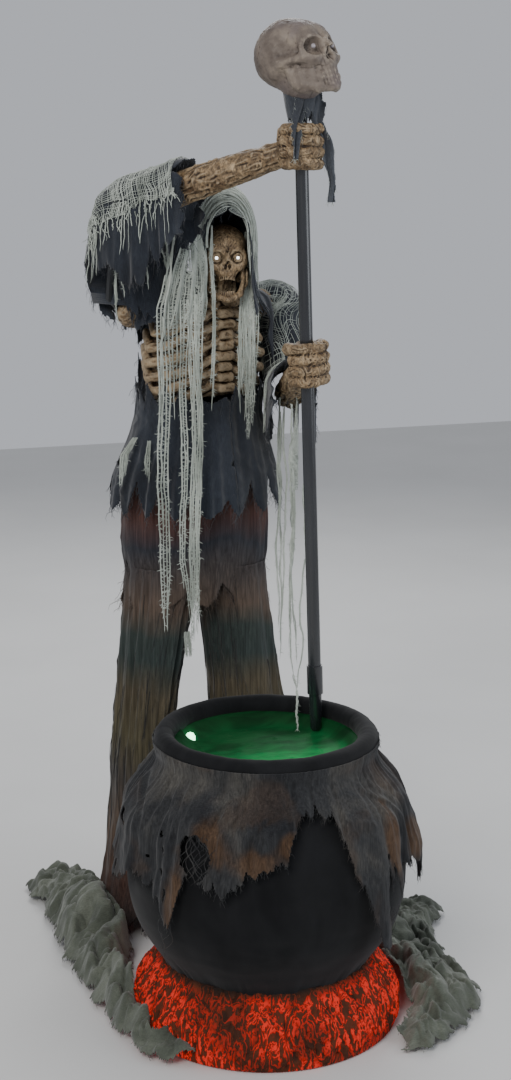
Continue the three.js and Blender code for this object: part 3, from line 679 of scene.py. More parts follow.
def black_tube():
    look = Look("black_tube", roughness=0.22, specular=0.6)
    look.shader.inputs["Coat Weight"].default_value = 0.4
    look.shader.inputs["Coat Roughness"].default_value = 0.12
    look.colour(look.ramp(look.noise(30, 5, (1, 1, 0.1)),
                          [(0.35, (0.006, 0.0065, 0.008)), (0.7, (0.02, 0.022, 0.027))]))
    look.rough(look.noise(260, 4, (1, 1, 0.05)), 0.16, 0.36)
    look.bump(look.noise(340, 3, (1, 1, 0.04)), 0.12, 0.0003)
    return look.material


def black_canvas():
    look = Look("black_canvas", roughness=0.92, sheen=0.08, specular=0.12)
    look.colour(look.ramp(look.noise(12, 5, (1, 1, 0.5), 0.4),
                          [(0.3, (0.0045, 0.0048, 0.0056)), (0.75, (0.013, 0.0135, 0.015))]))
    look.bump(look.noise(420, 4), 0.3, 0.0006)
    look.bump(look.noise(1100, 2), 0.3, 0.0004)
    return look.material


def plain_plastic(name, dark, light, roughness):
    look = Look(name, roughness=roughness)
    look.colour(look.ramp(look.noise(40, 4), [(0.3, dark), (0.7, light)]))
    look.bump(look.noise(900, 3), 0.2, 0.0003)
    look.rough(look.noise(70, 4), roughness * 0.8, min(1, roughness * 1.25))
    return look.material


def steel(name, dark, light, metallic):
    look = Look(name, roughness=0.4, metallic=metallic)
    look.colour(look.ramp(look.noise(60, 5, (1, 1, 0.2)), [(0.3, dark), (0.7, light)]))
    look.bump(look.noise(700, 3), 0.15, 0.0003)
    look.rough(look.noise(90, 4), 0.3, 0.55)
    return look.material


def brew():
    look = Look("glowing_brew", roughness=0.6, specular=0.08)
    swirl = look.mask(look.noise(10, 4, (1, 3.0, 1), 0.8), 0.15, 0.8)
    level = look.math("MULTIPLY", look.math("ADD", look.math("MULTIPLY", swirl, 0.45), 0.62),
                      look.attribute("lit"))
    look.colour(look.ramp(swirl, [(0.3, (0.002, 0.012, 0.004)), (0.7, (0.004, 0.03, 0.009))]))
    look.glow(look.ramp(level, [(0.0, (0.0, 0.004, 0.001)), (0.25, (0.001, 0.022, 0.006)),
                                (0.5, (0.002, 0.065, 0.017)),
                                (0.8, (0.004, 0.17, 0.040)), (1.0, (0.010, 0.36, 0.10))]), 1.5)
    look.bump(look.noise(26, 5, (1, 2, 1), 0.8), 0.3, 0.0016)
    return look.material


def coals():
    look = Look("glowing_coals", roughness=0.8, specular=0.15)
    twist = look.noise(54, 4, (1, 1, 0.30), 1.1)
    flame = look.mask(look.math("ABSOLUTE", look.math("SUBTRACT", twist, 0.5), 0), 0.085, 0.012)
    heat = look.math("MULTIPLY", look.attribute("ember"),
                     look.math("ADD", look.math("MULTIPLY", flame, 0.74), 0.26))
    look.colour(look.ramp(heat, [(0.0, (0.012, 0.010, 0.009)), (0.3, (0.050, 0.022, 0.010)),
                                 (1.0, (0.20, 0.012, 0.006))]))
    look.glow(look.ramp(heat, [(0.04, (0.002, 0.0006, 0.0003)), (0.22, (0.034, 0.0045, 0.0012)),
                               (0.45, (0.12, 0.003, 0.002)),
                               (0.75, (0.36, 0.006, 0.006)), (1.0, (0.62, 0.026, 0.012))]), 1.0)
    look.bump(flame, 0.7, 0.003)
    look.bump(look.noise(260, 4, (1, 1, 0.5), 0.8), 0.5, 0.001)
    return look.material


def lamp(name, colour, strength):
    look = Look(name, roughness=0.2)
    look.colour(look.ramp(look.noise(200, 2), [(0.3, tuple(c * 0.85 for c in colour)), (0.7, colour)]))
    look.glow(look.ramp(look.noise(160, 2), [(0.3, tuple(c * 0.8 for c in colour)), (0.7, colour)]), strength)
    return look.material


SLATE = slate_cloth("slate_cloth", (0.012, 0.014, 0.019), (0.03, 0.036, 0.048), (0.052, 0.06, 0.074))
WORN = slate_cloth("worn_slate_cloth", (0.036, 0.040, 0.048), (0.070, 0.080, 0.096), (0.12, 0.13, 0.15))
GAUZE = gauze()
DYED = dyed_gauze()
TORN = torn_gauze()
FLOOR_GAUZE = floor_gauze()
LATEX = latex()
BONE = bone()
TUBE = black_tube()
CANVAS = black_canvas()
GREY_PLASTIC = plain_plastic("grey_nylon", (0.1, 0.105, 0.11), (0.19, 0.2, 0.21), 0.5)
BLACK_PLASTIC = plain_plastic("black_abs", (0.012, 0.012, 0.014), (0.03, 0.031, 0.034), 0.45)
BLACK_STEEL = steel("black_powder_coat", (0.015, 0.016, 0.018), (0.04, 0.042, 0.046), 0.3)
BRIGHT_STEEL = steel("zinc_plate", (0.42, 0.43, 0.44), (0.68, 0.69, 0.7), 1.0)
BREW = brew()
COALS = coals()
WHITE_LAMP = lamp("white_lamp", (0.9, 0.95, 1.0), 4.5)
DIM_LAMP = lamp("unlit_lamp", (0.34, 0.31, 0.33), 0.05)
GREEN_LAMP = lamp("green_lamp", (0.40, 1.0, 0.58), 6)
RED_LAMP = lamp("red_lamp", (1.0, 0.12, 0.04), 6)

NODE_LOOKS = {
    BLACK_STEEL: ["base_plate", "cauldron_frame", "base_link_tube", "rear_foot_frame", "hip_bracket",
                  "spine_tube", "shoulder_bar", "right_arm_tube", "left_arm_tube", "leg_tube_lower_left",
                  "leg_tube_lower_right"],
    BRIGHT_STEEL: ["leg_tube_upper_left", "leg_tube_upper_right", "leg_button_left", "leg_button_right",
                   "lower_bearing", "gear_motor", "drive_pinion"],
    GREY_PLASTIC: ["gearbox_housing", "gearbox_cover", "waist_gear", "mode_switch"],
    BLACK_PLASTIC: ["control_box", "battery_door"],
    TUBE: ["staff_lower_tube", "staff_upper_tube", "staff_spigot", "staff_collar", "staff_tip"],
    WHITE_LAMP: ["eye_left", "eye_right"],
    DIM_LAMP: ["staff_eye_left", "staff_eye_right"],
    GREEN_LAMP: ["green_lamp"],
    RED_LAMP: ["red_lamp"],
}


def dress_cad_nodes():
    """Round the rigid CAD nodes' shading with modifiers only, and give them their materials."""
    for material, names in NODE_LOOKS.items():
        for name in names:
            node = frame["nodes"][name]
            node.data.materials.clear()
            node.data.materials.append(material)
            node.data.polygons.foreach_set("use_smooth", [True] * len(node.data.polygons))
            weld = node.modifiers.new("weld", "WELD")
            weld.merge_threshold = 0.00002
            split = node.modifiers.new("edges", "EDGE_SPLIT")
            split.split_angle = math.radians(35)


# ---------------------------------------------------------------- camera, lights and floor

def look_at(obj, target):
    obj.rotation_mode = "QUATERNION"
    obj.rotation_quaternion = (Vector(target) - obj.location).to_track_quat("-Z", "Y")


CAMERA_PLACE = (-1.211, -3.654, 1.96)
CAMERA_AZIMUTH, CAMERA_PITCH = math.radians(18), math.radians(13.1)
LENS_MM, SENSOR_MM = 63.1, 36


def make_camera():
    data = bpy.data.cameras.new("camera")
    data.lens = LENS_MM
    data.sensor_width = SENSOR_MM
    camera = bpy.data.objects.new("camera", data)
    bpy.context.scene.collection.objects.link(camera)
    camera.location = CAMERA_PLACE
    level = math.cos(CAMERA_PITCH)
    ahead = Vector((math.sin(CAMERA_AZIMUTH) * level, math.cos(CAMERA_AZIMUTH) * level,
                    -math.sin(CAMERA_PITCH)))
    look_at(camera, camera.location + ahead)
    bpy.context.scene.camera = camera


def area_light(name, place, target, size, power, colour=(1, 1, 1)):
    data = bpy.data.lights.new(name, "AREA")
    data.shape = "DISK"
    data.size = size
    data.energy = power
    data.color = colour
    light = bpy.data.objects.new(name, data)
    bpy.context.scene.collection.objects.link(light)
    light.location = place
    look_at(light, target)


def make_studio():
    world = bpy.data.worlds.new("studio")
    world.use_nodes = True
    sky = world.node_tree.nodes["Background"].inputs
    sky["Color"].default_value = (0.9, 0.93, 1.0, 1)
    sky["Strength"].default_value = 0.55
    bpy.context.scene.world = world
    area_light("key", (-2.6, -3.2, 3.8), (0, 0.2, 1.1), 2.2, 150, (1, 0.97, 0.93))
    area_light("fill", (3.4, -2.2, 2.2), (0, 0.2, 1.0), 3.0, 60, (0.9, 0.95, 1))
    area_light("back", (1.2, 3.6, 3.4), (0, 0.3, 1.2), 2.5, 90)
    bpy.ops.mesh.primitive_plane_add(size=14, location=(0, 0, -0.0015))
    floor = bpy.context.object
    floor.name = "studio_floor"
    look = Look("studio_floor", roughness=0.8, specular=0.3)
    look.colour(look.ramp(look.noise(1.5, 3), [(0.3, (0.6, 0.6, 0.59)), (0.7, (0.64, 0.64, 0.63))]))
    floor.data.materials.append(look.material)


make_camera()
make_studio()
dress_cad_nodes()


# ---------------------------------------------------------------- skulls, in millimetres, facing -Y

def tooth_row(p, z_root, z_tip, reach=28, half=24, middle=-52):
    d = np.full(p.shape[:-1], 1e3, np.float32)
    for i in range(-4, 5):
        turn = i * 0.24
        x, y = half * math.sin(turn), middle - reach * math.cos(turn)
        d = np.minimum(d, capsule(p, (x, y, z_root), (x * 0.97, y, z_tip), 3.5, 2.6))
    return d


def skull_field(p, flesh):
    """The skull without its lower jaw; flesh is how thick the skin over it is."""
    q = mirrored(p)
    d = ellipsoid(p, (0, 14, 20), (67, 79, 70))
    d = blend_in(d, ellipsoid(q, (17, -36, 32), (34, 34, 32)), 14)
    d = blend_in(d, ellipsoid(p, (0, -42, -14), (38, 36, 42)), 12)
    rim = np.hypot(np.hypot((q[..., 0] - 29) / 1.08, q[..., 2] - 4) - 20,
                   (q[..., 1] + 66 - (q[..., 0] - 29) * 0.42)) - 5.5
    d = blend_in(d, rim, 14)
    d = carve(d, ellipsoid(q, (66, -26, 12), (12, 26, 22)), 10)
    d = carve(d, ellipsoid(q, (50, -30, -40), (13, 28, 18)), 10)
    cheek = chain(q, [(16, -70, -22), (34, -66, -22), (48, -52, -15), (57, -28, -9), (58, 0, -6)],
                  [8, 9, 8, 5.5, 5])
    d = blend_in(d, cheek, 16)
    d = blend_in(d, ellipsoid(p, (0, -60, -38), (27, 24, 19)), 8)
    d = blend_in(d, capsule(p, (0, -80, 12), (0, -91, -3), 5.5, 5), 5)
    d = d - flesh
    d = carve(d, ellipsoid(q, (30, -82, 4), (21.5 - flesh, 34, 19.5 - flesh)), 4)
    d = carve(d, ellipsoid(q, (5, -92, -20), (6.5, 20, 10)), 3)
    d = carve(d, ellipsoid(p, (0, -92, -11), (5.5, 18, 9)), 3)
    return blend_in(d, tooth_row(p, -46, -60), 1.5)


def jaw_field(p, hinge, angle_of_jaw, side, chin, radius, teeth):
    q = mirrored(p)
    d = chain(q, [hinge, angle_of_jaw, side, chin], [radius * 0.8, radius * 0.95, radius, radius * 1.15])
    middle = [(hinge[i] + angle_of_jaw[i]) / 2 - (0, 10, 4)[i] for i in range(3)]
    d = blend_in(d, ellipsoid(q, middle, (5, 15, 24)), 8)
    return blend_in(d, teeth, 3)


def staff_skull_field(grid):
    p = grid / MM
    jaw = jaw_field(p, (50, -8, -16), (46, -16, -54), (31, -50, -76), (0, -73, -80), 9,
                    tooth_row(p, -76, -64))
    q = mirrored(p)
    cheeks = blend_in(ellipsoid(q, (38, -32, -44), (9, 30, 30)), ellipsoid(q, (27, -47, -58), (9, 24, 17)), 8)
    cheeks = blend_in(cheeks, ellipsoid(p, (0, -2, -42), (46, 52, 38)), 12)
    crack = smooth(np.abs(2 * fbm(p, 62, 17, 3) - 1), 0.030, 0.0) * smooth(value_noise(p, 45, 19), 0.45, 0.6)
    return (blend_in(blend_in(skull_field(p, 0), jaw, 5), cheeks, 10) + crack * 1.3) * MM


def face_field(grid):
    p = grid / MM
    d = skull_field(p, 1.5)
    q = mirrored(p)
    cords = chain(q, [(44, -52, -22), (50, -32, -42), (44, -2, -64)], [6, 6, 9])
    throat = capsule(p, (0, 6, -40), (0, 14, -80), 26, 22)
    lids = np.hypot(np.hypot(q[..., 0] - 30, q[..., 2] - 4) - 8.4, q[..., 1] + 73) - 4.3
    d = blend_in(blend_in(blend_in(d, cords, 10), throat, 12), lids, 4)
    return carve(d, ellipsoid(p, (0, -62, -76), (25, 40, 20)), 5) * MM


def open_jaw_field(grid):
    p = grid / MM
    q = mirrored(p)
    teeth = tooth_row(p, -104, -92, middle=-53)
    d = jaw_field(p, (62, -22, -34), (57, -31, -66), (38, -62, -101), (0, -84, -113), 8, teeth)
    lip = chain(q, [(47, -50, -30), (47, -54, -66), (37, -66, -98)], [5, 5, 7])
    floor = ellipsoid(p, (0, -52, -112), (34, 30, 7))
    return blend_in(blend_in(d, lip, 9), floor, 8) * MM


def lumps(points, scale, height, seed):
    return height * (fbm(points, scale, seed) - 0.5) * 2


def bone_relief(points):
    return lumps(points, 0.020, 0.0022, 4) + lumps(points, 0.0065, 0.0010, 6)


def sinews(axis, across, along, height, seed):
    """Ridges that run along an axis, as dried muscle does."""
    turn = np.array(Vector(axis).rotation_difference(Vector((0, 0, 1))).to_matrix())

    def relief(points):
        q = points @ turn.T
        bend = (fbm(q, along * 0.6, seed + 9, 2) - 0.5)[:, None] * across * 3
        ridge = 1 - np.abs(2 * fbm(q + bend, (across, across, along), seed, 2) - 1) * 1.6
        return height * (ridge - 0.55) + height * 0.3 * (fbm(q, across * 0.5, seed + 5, 2) - 0.5)

    return relief


def build_staff_skull():
    turn = Matrix.Rotation(math.radians(14), 4, "Z") @ Matrix.Rotation(math.radians(-20), 4, "X")
    matrix = STAFF @ Matrix.Translation((-0.004, 0, STAFF_LENGTH + 0.074)) @ turn
    obj = sculpt("staff_skull_bone", (-0.078, -0.106, -0.105), (0.078, 0.1, 0.1), 0.0015, staff_skull_field,
                 matrix, BONE, bone_relief)
    ride_as(obj, "upper_body", "bone", "staff_skull")


HEAD_CENTRE = (0, -0.022, 1.6169)
HEAD_SCALE = 0.78


def build_head():
    matrix = HEAD @ Matrix.Translation(HEAD_CENTRE) @ Matrix.Scale(HEAD_SCALE, 4)
    face = sculpt("mummified_face", (-0.078, -0.106, -0.095), (0.078, 0.1, 0.1), 0.0016, face_field, matrix,
                  LATEX, sinews((0.3, 0.2, 1), 0.008, 0.04, 0.0022, 21))
    ride_as(face, "head", "latex", "face_shell", "head_back")
    jaw = sculpt("mummified_jaw", (-0.078, -0.102, -0.132), (0.078, 0.0, -0.02), 0.0015, open_jaw_field,
                 matrix, LATEX, sinews((0.2, 0.6, 1), 0.008, 0.03, 0.0014, 33))
    ride_as(jaw, "jaw", "latex", "jaw")


# ---------------------------------------------------------------- chest, neck and arms, in the torso's frame

CAGE = np.array([(1300, 116, 76), (1318, 130, 84), (1350, 146, 95), (1420, 149, 98), (1490, 118, 82),
                 (1530, 60, 50)])


def chest_field(grid):
    p = grid / MM
    q = mirrored(p)
    half = np.interp(p[..., 2], CAGE[:, 0], CAGE[:, 1])
    deep = np.interp(p[..., 2], CAGE[:, 0], CAGE[:, 2])
    reach = np.sqrt((p[..., 0] / half) ** 2 + ((p[..., 1] + 30) / deep) ** 2)
    d = (reach - 1) * np.minimum(half, deep) + 12
    d = np.maximum(d, np.maximum(1302 - p[..., 2], p[..., 2] - 1528))
    d = carve(d, ellipsoid(p, (0, -142, 1400), (50, 54, 110)), 16)
    for rib in range(6):
        z = 1492 - 33 * rib
        wide = np.interp(z - 24, CAGE[:, 0], CAGE[:, 1])
        deep_here = np.interp(z - 24, CAGE[:, 0], CAGE[:, 2])
        low = 8 * math.sin(rib * 1.7)
        route = [(18, -30 - deep_here * 0.9, z + 4), (wide * 0.55, -30 - deep_here * 0.86, z - 16 + low),
                 (wide * 0.88, -30 - deep_here * 0.5, z - 36), (wide * 1.0, -30, z - 44),
                 (wide * 0.8, -30 + deep_here * 0.6, z - 16)]
        d = blend_in(d, chain(q, route, [9, 10, 10.5, 10, 9]), 7)
    for bone_at in range(8):
        z = 1492 - 24 * bone_at
        wide = 21 + 3 * math.sin(bone_at * 2.1)
        d = blend_in(d, round_box(p, (2 + 2 * math.sin(bone_at), -116, z), (wide, 15, 9.5), 7), 6)
    d = blend_in(d, chain(q, [(10, -104, 1506), (70, -92, 1520), (160, -30, 1512)], [12, 10, 12]), 9)
    d = blend_in(d, ellipsoid(q, (176, -14, 1496), (36, 34, 34)), 16)
    neck = chain(p, [(0, -40, 1490), (8, -74, 1524), (15, -95, 1560), (15, -93, 1604)], [30, 25, 20, 21])
    d = blend_in(d, neck, 18)
    for x in (-20, -7, 8, 21):
        cord = chain(p, [(x * 1.9, -98, 1508), (15 + x * 0.9, -112, 1545), (15 + x * 0.95, -112, 1596)],
                     [5, 4.5, 4])
        d = blend_in(d, cord, 4)
    return d * MM


def chest_relief(points):
    slant = points.copy()
    slant[:, 2] += np.abs(slant[:, 0]) * 0.45
    fibre = 1 - np.abs(2 * fbm(slant, (0.03, 0.03, 0.008), 51) - 1) * 1.7
    ragged = smooth(fbm(points, 0.045, 57), 0.5, 0.75) * smooth(points[:, 0], 0.0, 0.08)
    return 0.0024 * (fibre - 0.5) + ragged * 0.006 * (value_noise(points, 0.009, 61) - 0.4)


def build_chest():
    obj = sculpt("ribs_and_neck", (-0.225, -0.15, 1.295), (0.225, 0.085, 1.612), 0.0026, chest_field, TORSO,
                 LATEX, chest_relief)
    ride_as(obj, "upper_body", "latex", "chest_front", "chest_back", "neck_tube")


def on_staff(z):
    part = (z - STAFF_FOOT.z) / (STAFF_TOP.z - STAFF_FOOT.z)
    return STAFF_FOOT.lerp(STAFF_TOP, part)


ARMS = {
    "right": {"elbow": (-0.252, -0.088, 1.728), "grip": 1.866, "skin": (0.036, 0.034, 0.027), "seed": 71},
    "left": {"elbow": (0.182, -0.120, 1.290), "grip": 1.420, "skin": (0.034, 0.032, 0.026), "seed": 83},
}


def build_arm(side):
    arm = ARMS[side]
    elbow, grip = Vector(arm["elbow"]), on_staff(arm["grip"])
    forward = (grip - elbow).normalized()
    wrist = grip - forward * 0.061
    start = elbow + forward * 0.03
    lift = Vector((0, 0, 1)).cross(forward).normalized()
    r0, r1, r2 = arm["skin"]

    def field(grid):
        d = chain(grid, [start, start.lerp(wrist, 0.5), wrist + forward * 0.012], [r0, r1, r2])
        for i, (out, size) in enumerate(((0.5, 0.013), (-0.55, 0.012), (0.05, 0.014))):
            rise = Vector((0, 0, 0.02 * (1 - i))) + lift * out * r1
            d = blend_in(d, capsule(grid, start + rise, wrist + rise * 0.5, size, size * 0.7), 0.006)
        return d

    low = [min(start[i], wrist[i]) - 0.055 for i in range(3)]
    high = [max(start[i], wrist[i]) + 0.055 for i in range(3)]
    ridges = sinews(forward, 0.011, 0.07, 0.0042, arm["seed"])

    def skin_relief(points):
        spots = smooth(value_noise(points, 0.011, arm["seed"] + 3), 0.72, 0.95)
        return ridges(points) + spots * 0.0022

    skin = sculpt(f"{side}_forearm_skin", low, high, 0.0017, field, TORSO, LATEX, skin_relief)
    ride_as(skin, "upper_body", "latex", f"{side}_forearm")
    build_fist(side, forward, arm)


def build_fist(side, forward, arm):
    """Four fingers and a thumb closed round the staff; +X is the palm's side."""
    up = (arm["grip"] - STAFF_FOOT.z) * STAFF_LENGTH / (STAFF_TOP.z - STAFF_FOOT.z)
    turn = Matrix.Rotation(math.atan2(-forward.y, -forward.x), 4, "Z")
    matrix = STAFF @ Matrix.Translation((0, 0, up)) @ turn
    mirror = 1 if side == "right" else -1

    def field(grid):
        p = grid / MM
        d = round_box(p, (22, mirror * 4, 0), (24, 28, 43), 16)
        for finger in range(4):
            z = (finger - 1.5) * 22.6
            size = (12.8, 13.6, 13.2, 11.4)[finger]
            route = [(22, mirror * 30, z + 2), (-8, mirror * 34, z + 3), (-30, mirror * 14, z),
                     (-32, -mirror * 10, z - 1), (-10, -mirror * 30, z - 3), (14, -mirror * 27, z - 4)]
            radii = [size, size * 1.08, size * 1.04, size, size * 0.92, size * 0.8]
            d = blend_in(d, chain(p, route, radii), 3.2)
            d = blend_in(d, ellipsoid(p, (-24, mirror * 26, z + 2), (12, 12, 10)), 4)
        thumb = [(30, -mirror * 22, 20), (6, -mirror * 38, 30), (-20, -mirror * 34, 34),
                 (-38, -mirror * 14, 36)]
        d = blend_in(d, chain(p, thumb, [14, 13, 11.5, 9.5]), 4)
        if side == "left":
            d = blend_in(d, chain(p, [(12, 24, -34), (4, 30, -46)], [13, 9]), 10)
        return np.maximum(d, 14.6 - np.hypot(p[..., 0], p[..., 1])) * MM

    ridge = sinews((1, 0.4, 0.1), 0.009, 0.032, 0.0026, arm["seed"] + 7)

    def relief(points):
        clear = smooth(np.hypot(points[:, 0], points[:, 1]), 0.0165, 0.022)
        return clear * ridge(points)

    fist = sculpt(f"{side}_fist", (-0.06, -0.062, -0.072), (0.062, 0.062, 0.062), 0.0014, field, matrix,
                  LATEX, relief)
    ride_as(fist, "upper_body", "latex", f"{side}_hand")


build_staff_skull()
build_head()
build_chest()
build_arm("right")
build_arm("left")


# ---------------------------------------------------------------- cloth helpers

def spline(table, x):
    """Smooth curve through a table: its first column is where, the rest are values."""
    table = np.asarray(table, float)
    knots, values = table[:, 0], table[:, 1:]
    slopes = np.gradient(values, knots, axis=0)
    i = np.clip(np.searchsorted(knots, x) - 1, 0, len(knots) - 2)
    step = (knots[i + 1] - knots[i])[:, None]
    s = np.clip((x - knots[i]) / step[:, 0], 0, 1)[:, None]
    return ((2 * s ** 3 - 3 * s ** 2 + 1) * values[i] + (s ** 3 - 2 * s ** 2 + s) * step * slopes[i]
            + (3 * s ** 2 - 2 * s ** 3) * values[i + 1] + (s ** 3 - s ** 2) * step * slopes[i + 1])


def torn(u, count, seed):
    """Torn points along an edge: 0 between them, up to 1 at their tips."""
    rng = np.random.default_rng(seed)
    sizes, leans = rng.uniform(0.2, 1.0, count), rng.uniform(0.25, 0.75, count)
    tooth = np.floor(u * count).astype(int) % count
    part, lean = u * count - np.floor(u * count), leans[tooth]
    return sizes[tooth] * np.where(part < lean, part / lean, (1 - part) / (1 - lean)) ** 1.4


def folds(angle, down, count, seed, drift=0.5):
    """Hanging folds round an angle, up to 1 on their rounded outside and below 0 in the pinches between."""
    where = np.stack([np.cos(angle) * count / 4, np.sin(angle) * count / 4, down * drift], -1)
    return 1 - np.abs(2 * value_noise(where, 1.0, seed) - 1) ** 1.3 * 1.6


def crumple(points, size, seed):
    """Sharp creases between rounded faces, from about -1 to 1."""
    return 1 - np.abs(2 * fbm(points, size, seed, 3) - 1) * 1.8


def open_edges(obj):
    """The end points of the edges that only one face uses."""
    mesh = obj.data
    loops = np.empty(len(mesh.loops), np.int32)
    mesh.loops.foreach_get("vertex_index", loops)
    quads = loops.reshape(-1, 4)
    pairs = np.sort(np.vstack([quads[:, [i, (i + 1) % 4]] for i in range(4)]), axis=1)
    pairs, used = np.unique(pairs, axis=0, return_counts=True)
    return corners_of(obj)[pairs[used == 1][:, 0]]


def fringe(name, obj, material, share, length, seed, radius=0.0005):
    """Loose fibres along a cloth's torn edges."""
    rng = np.random.default_rng(seed)
    at = open_edges(obj)
    at = at[rng.random(len(at)) < share]
    paths = []
    for point in at:
        reach = length * rng.uniform(0.25, 1.3)
        way = rng.normal(size=3) * (0.35, 0.35, 0.1) + (0, 0, -1)
        end = point + way / np.linalg.norm(way) * reach
        path = wander(point, end, 5, reach * 0.08, rng.integers(1 << 30))
        path[:, 2] = np.maximum(path[:, 2], 0.001)
        paths.append(path)
    return threads(name, paths, rng.uniform(0.6, 1.2, len(paths)) * radius, material, sides=3)


def net(name, place, columns, rows, material, seed, radius=0.0006, missing=0.25, ends=0.3):
    """Loosely woven gauze: single threads both ways over place(u, v), with gaps and dropped ends."""
    rng = np.random.default_rng(seed)
    paths, sizes = [], []

    def line(u, v):
        where = np.stack([u * 9, v * 9, np.zeros_like(u)], -1)
        u = u + (value_noise(where, 1.0, seed) - 0.5) * 0.09
        v = v + (value_noise(where, 1.0, seed + 1) - 0.5) * 0.09
        return place(np.clip(u, 0, 1), np.clip(v, 0, 1))

    for column in range(columns):
        u = (column + rng.uniform(0.2, 0.8)) / columns
        stop = 1 - ends * rng.random() ** 1.5
        t = np.linspace(0, stop, 34)
        paths.append(line(np.full_like(t, u) + np.sin(t * 9 + column) * 0.004, t))
        sizes.append(rng.uniform(0.7, 1.5))
    for row in range(rows):
        v = (row + rng.uniform(0.2, 0.8)) / rows
        start = 0.0
        while start < 0.97:
            run = rng.uniform(0.12, 0.5)
            if rng.random() > missing:
                t = np.linspace(start, min(1, start + run), 18)
                sag = np.sin((t - start) / run * math.pi) * 0.012
                paths.append(line(t, np.full_like(t, v) + sag))
                sizes.append(rng.uniform(0.6, 1.1))
            start += run
    return threads(name, paths, np.array(sizes) * radius, material, sides=4)


def drape_over(obj, slot, *nodes):
    """For cloth that hangs from the turning head on to the shoulders: its shape is fixed in world space,
    riding neither, and the CAD nodes it stands for are hidden.
    """
    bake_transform(obj)
    if nodes:
        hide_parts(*nodes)


def torso_points(*points):
    return [np.array(TORSO @ Vector(point)) for point in points]


def torso_pairs(pairs):
    return [torso_points(*pair) for pair in pairs]


# ---------------------------------------------------------------- hood and its gauze, in the head's frame

HOOD_TOP, HOOD_DROP = 1.7735, 0.2935
HOOD = [  # height, half width, half depth, y, half width of the face opening
    (1.478, 0.112, 0.098, -0.006, 0.062), (1.510, 0.088, 0.092, -0.010, 0.054),
    (1.554, 0.069, 0.086, -0.016, 0.048), (1.610, 0.067, 0.085, -0.018, 0.046),
    (1.670, 0.065, 0.084, -0.018, 0.043), (1.706, 0.058, 0.076, -0.017, 0.030),
    (1.722, 0.053, 0.070, -0.016, 0.004), (1.744, 0.044, 0.057, -0.015, 0.0),
    (1.760, 0.032, 0.041, -0.014, 0.0), (1.770, 0.017, 0.022, -0.013, 0.0),
    (HOOD_TOP, 0.002, 0.003, -0.013, 0.0),
]


def hood_at(u, v, out=0.0):
    z = HOOD_TOP - HOOD_DROP * v ** 1.7
    half, deep, y, opening = spline(HOOD, z).T
    start = np.arcsin(np.clip(opening / half, 0.01, 0.97))
    angle = start + u * 2 * (math.pi - start)
    fold = folds(angle, z * 9, 15, 5) * (0.001 + 0.006 * v ** 2)
    waver = 3 * value_noise(np.stack([angle, z * 30, z * 0], -1), 1.0, 8)
    arch = np.sin(z * 2 * math.pi / 0.013 + waver) * 0.0012 * (1 - v)
    roll = 0.006 * (np.exp(-(u / 0.035) ** 2) + np.exp(-((1 - u) / 0.035) ** 2)) * smooth(opening, 0.0, 0.02)
    more = fold + arch + roll + out
    points = np.stack([(half + more) * np.sin(angle), y - (deep + more) * np.cos(angle),
                       z + out * smooth(z, 1.73, 1.775)], -1)
    return mapped(HEAD, points)


def build_hood():
    def keep(u, v, middle):
        return v < 0.97 - 0.2 * torn(u, 17, 12)

    hood = sheet("hood_cloth", hood_at, 190, 110, SLATE, CLOTH_THICK, keep)
    edge = fringe("hood_frayed_edge", hood, SLATE, 0.35, 0.02, 14)
    drape_over(hood, "slate_cloth", "hood")
    drape_over(edge, "slate_cloth")
    crown = net("hood_gauze", lambda u, v: hood_at(0.002 + 0.996 * u, 0.01 + 0.70 * v, 0.004),
                60, 46, GAUZE, 15, 0.0007, 0.1, 0.15)
    drape_over(crown, "gauze")


def hood_web(u, v):
    """The gauze that spreads from the hood's edge down over the right shoulder."""
    left = spline([(0, -0.090, -0.122, 1.724), (0.3, -0.138, -0.146, 1.640), (0.65, -0.176, -0.163, 1.560),
                   (1, -0.200, -0.172, 1.478)], v)
    right = spline([(0, -0.076, -0.122, 1.728), (0.3, -0.064, -0.146, 1.640), (0.65, -0.070, -0.163, 1.550),
                    (1, -0.088, -0.172, 1.470)], v)
    points = left * (1 - u[:, None]) + right * u[:, None]
    points[:, 1] += 0.007 * np.sin(u * 21) * v
    return mapped(TORSO, points)


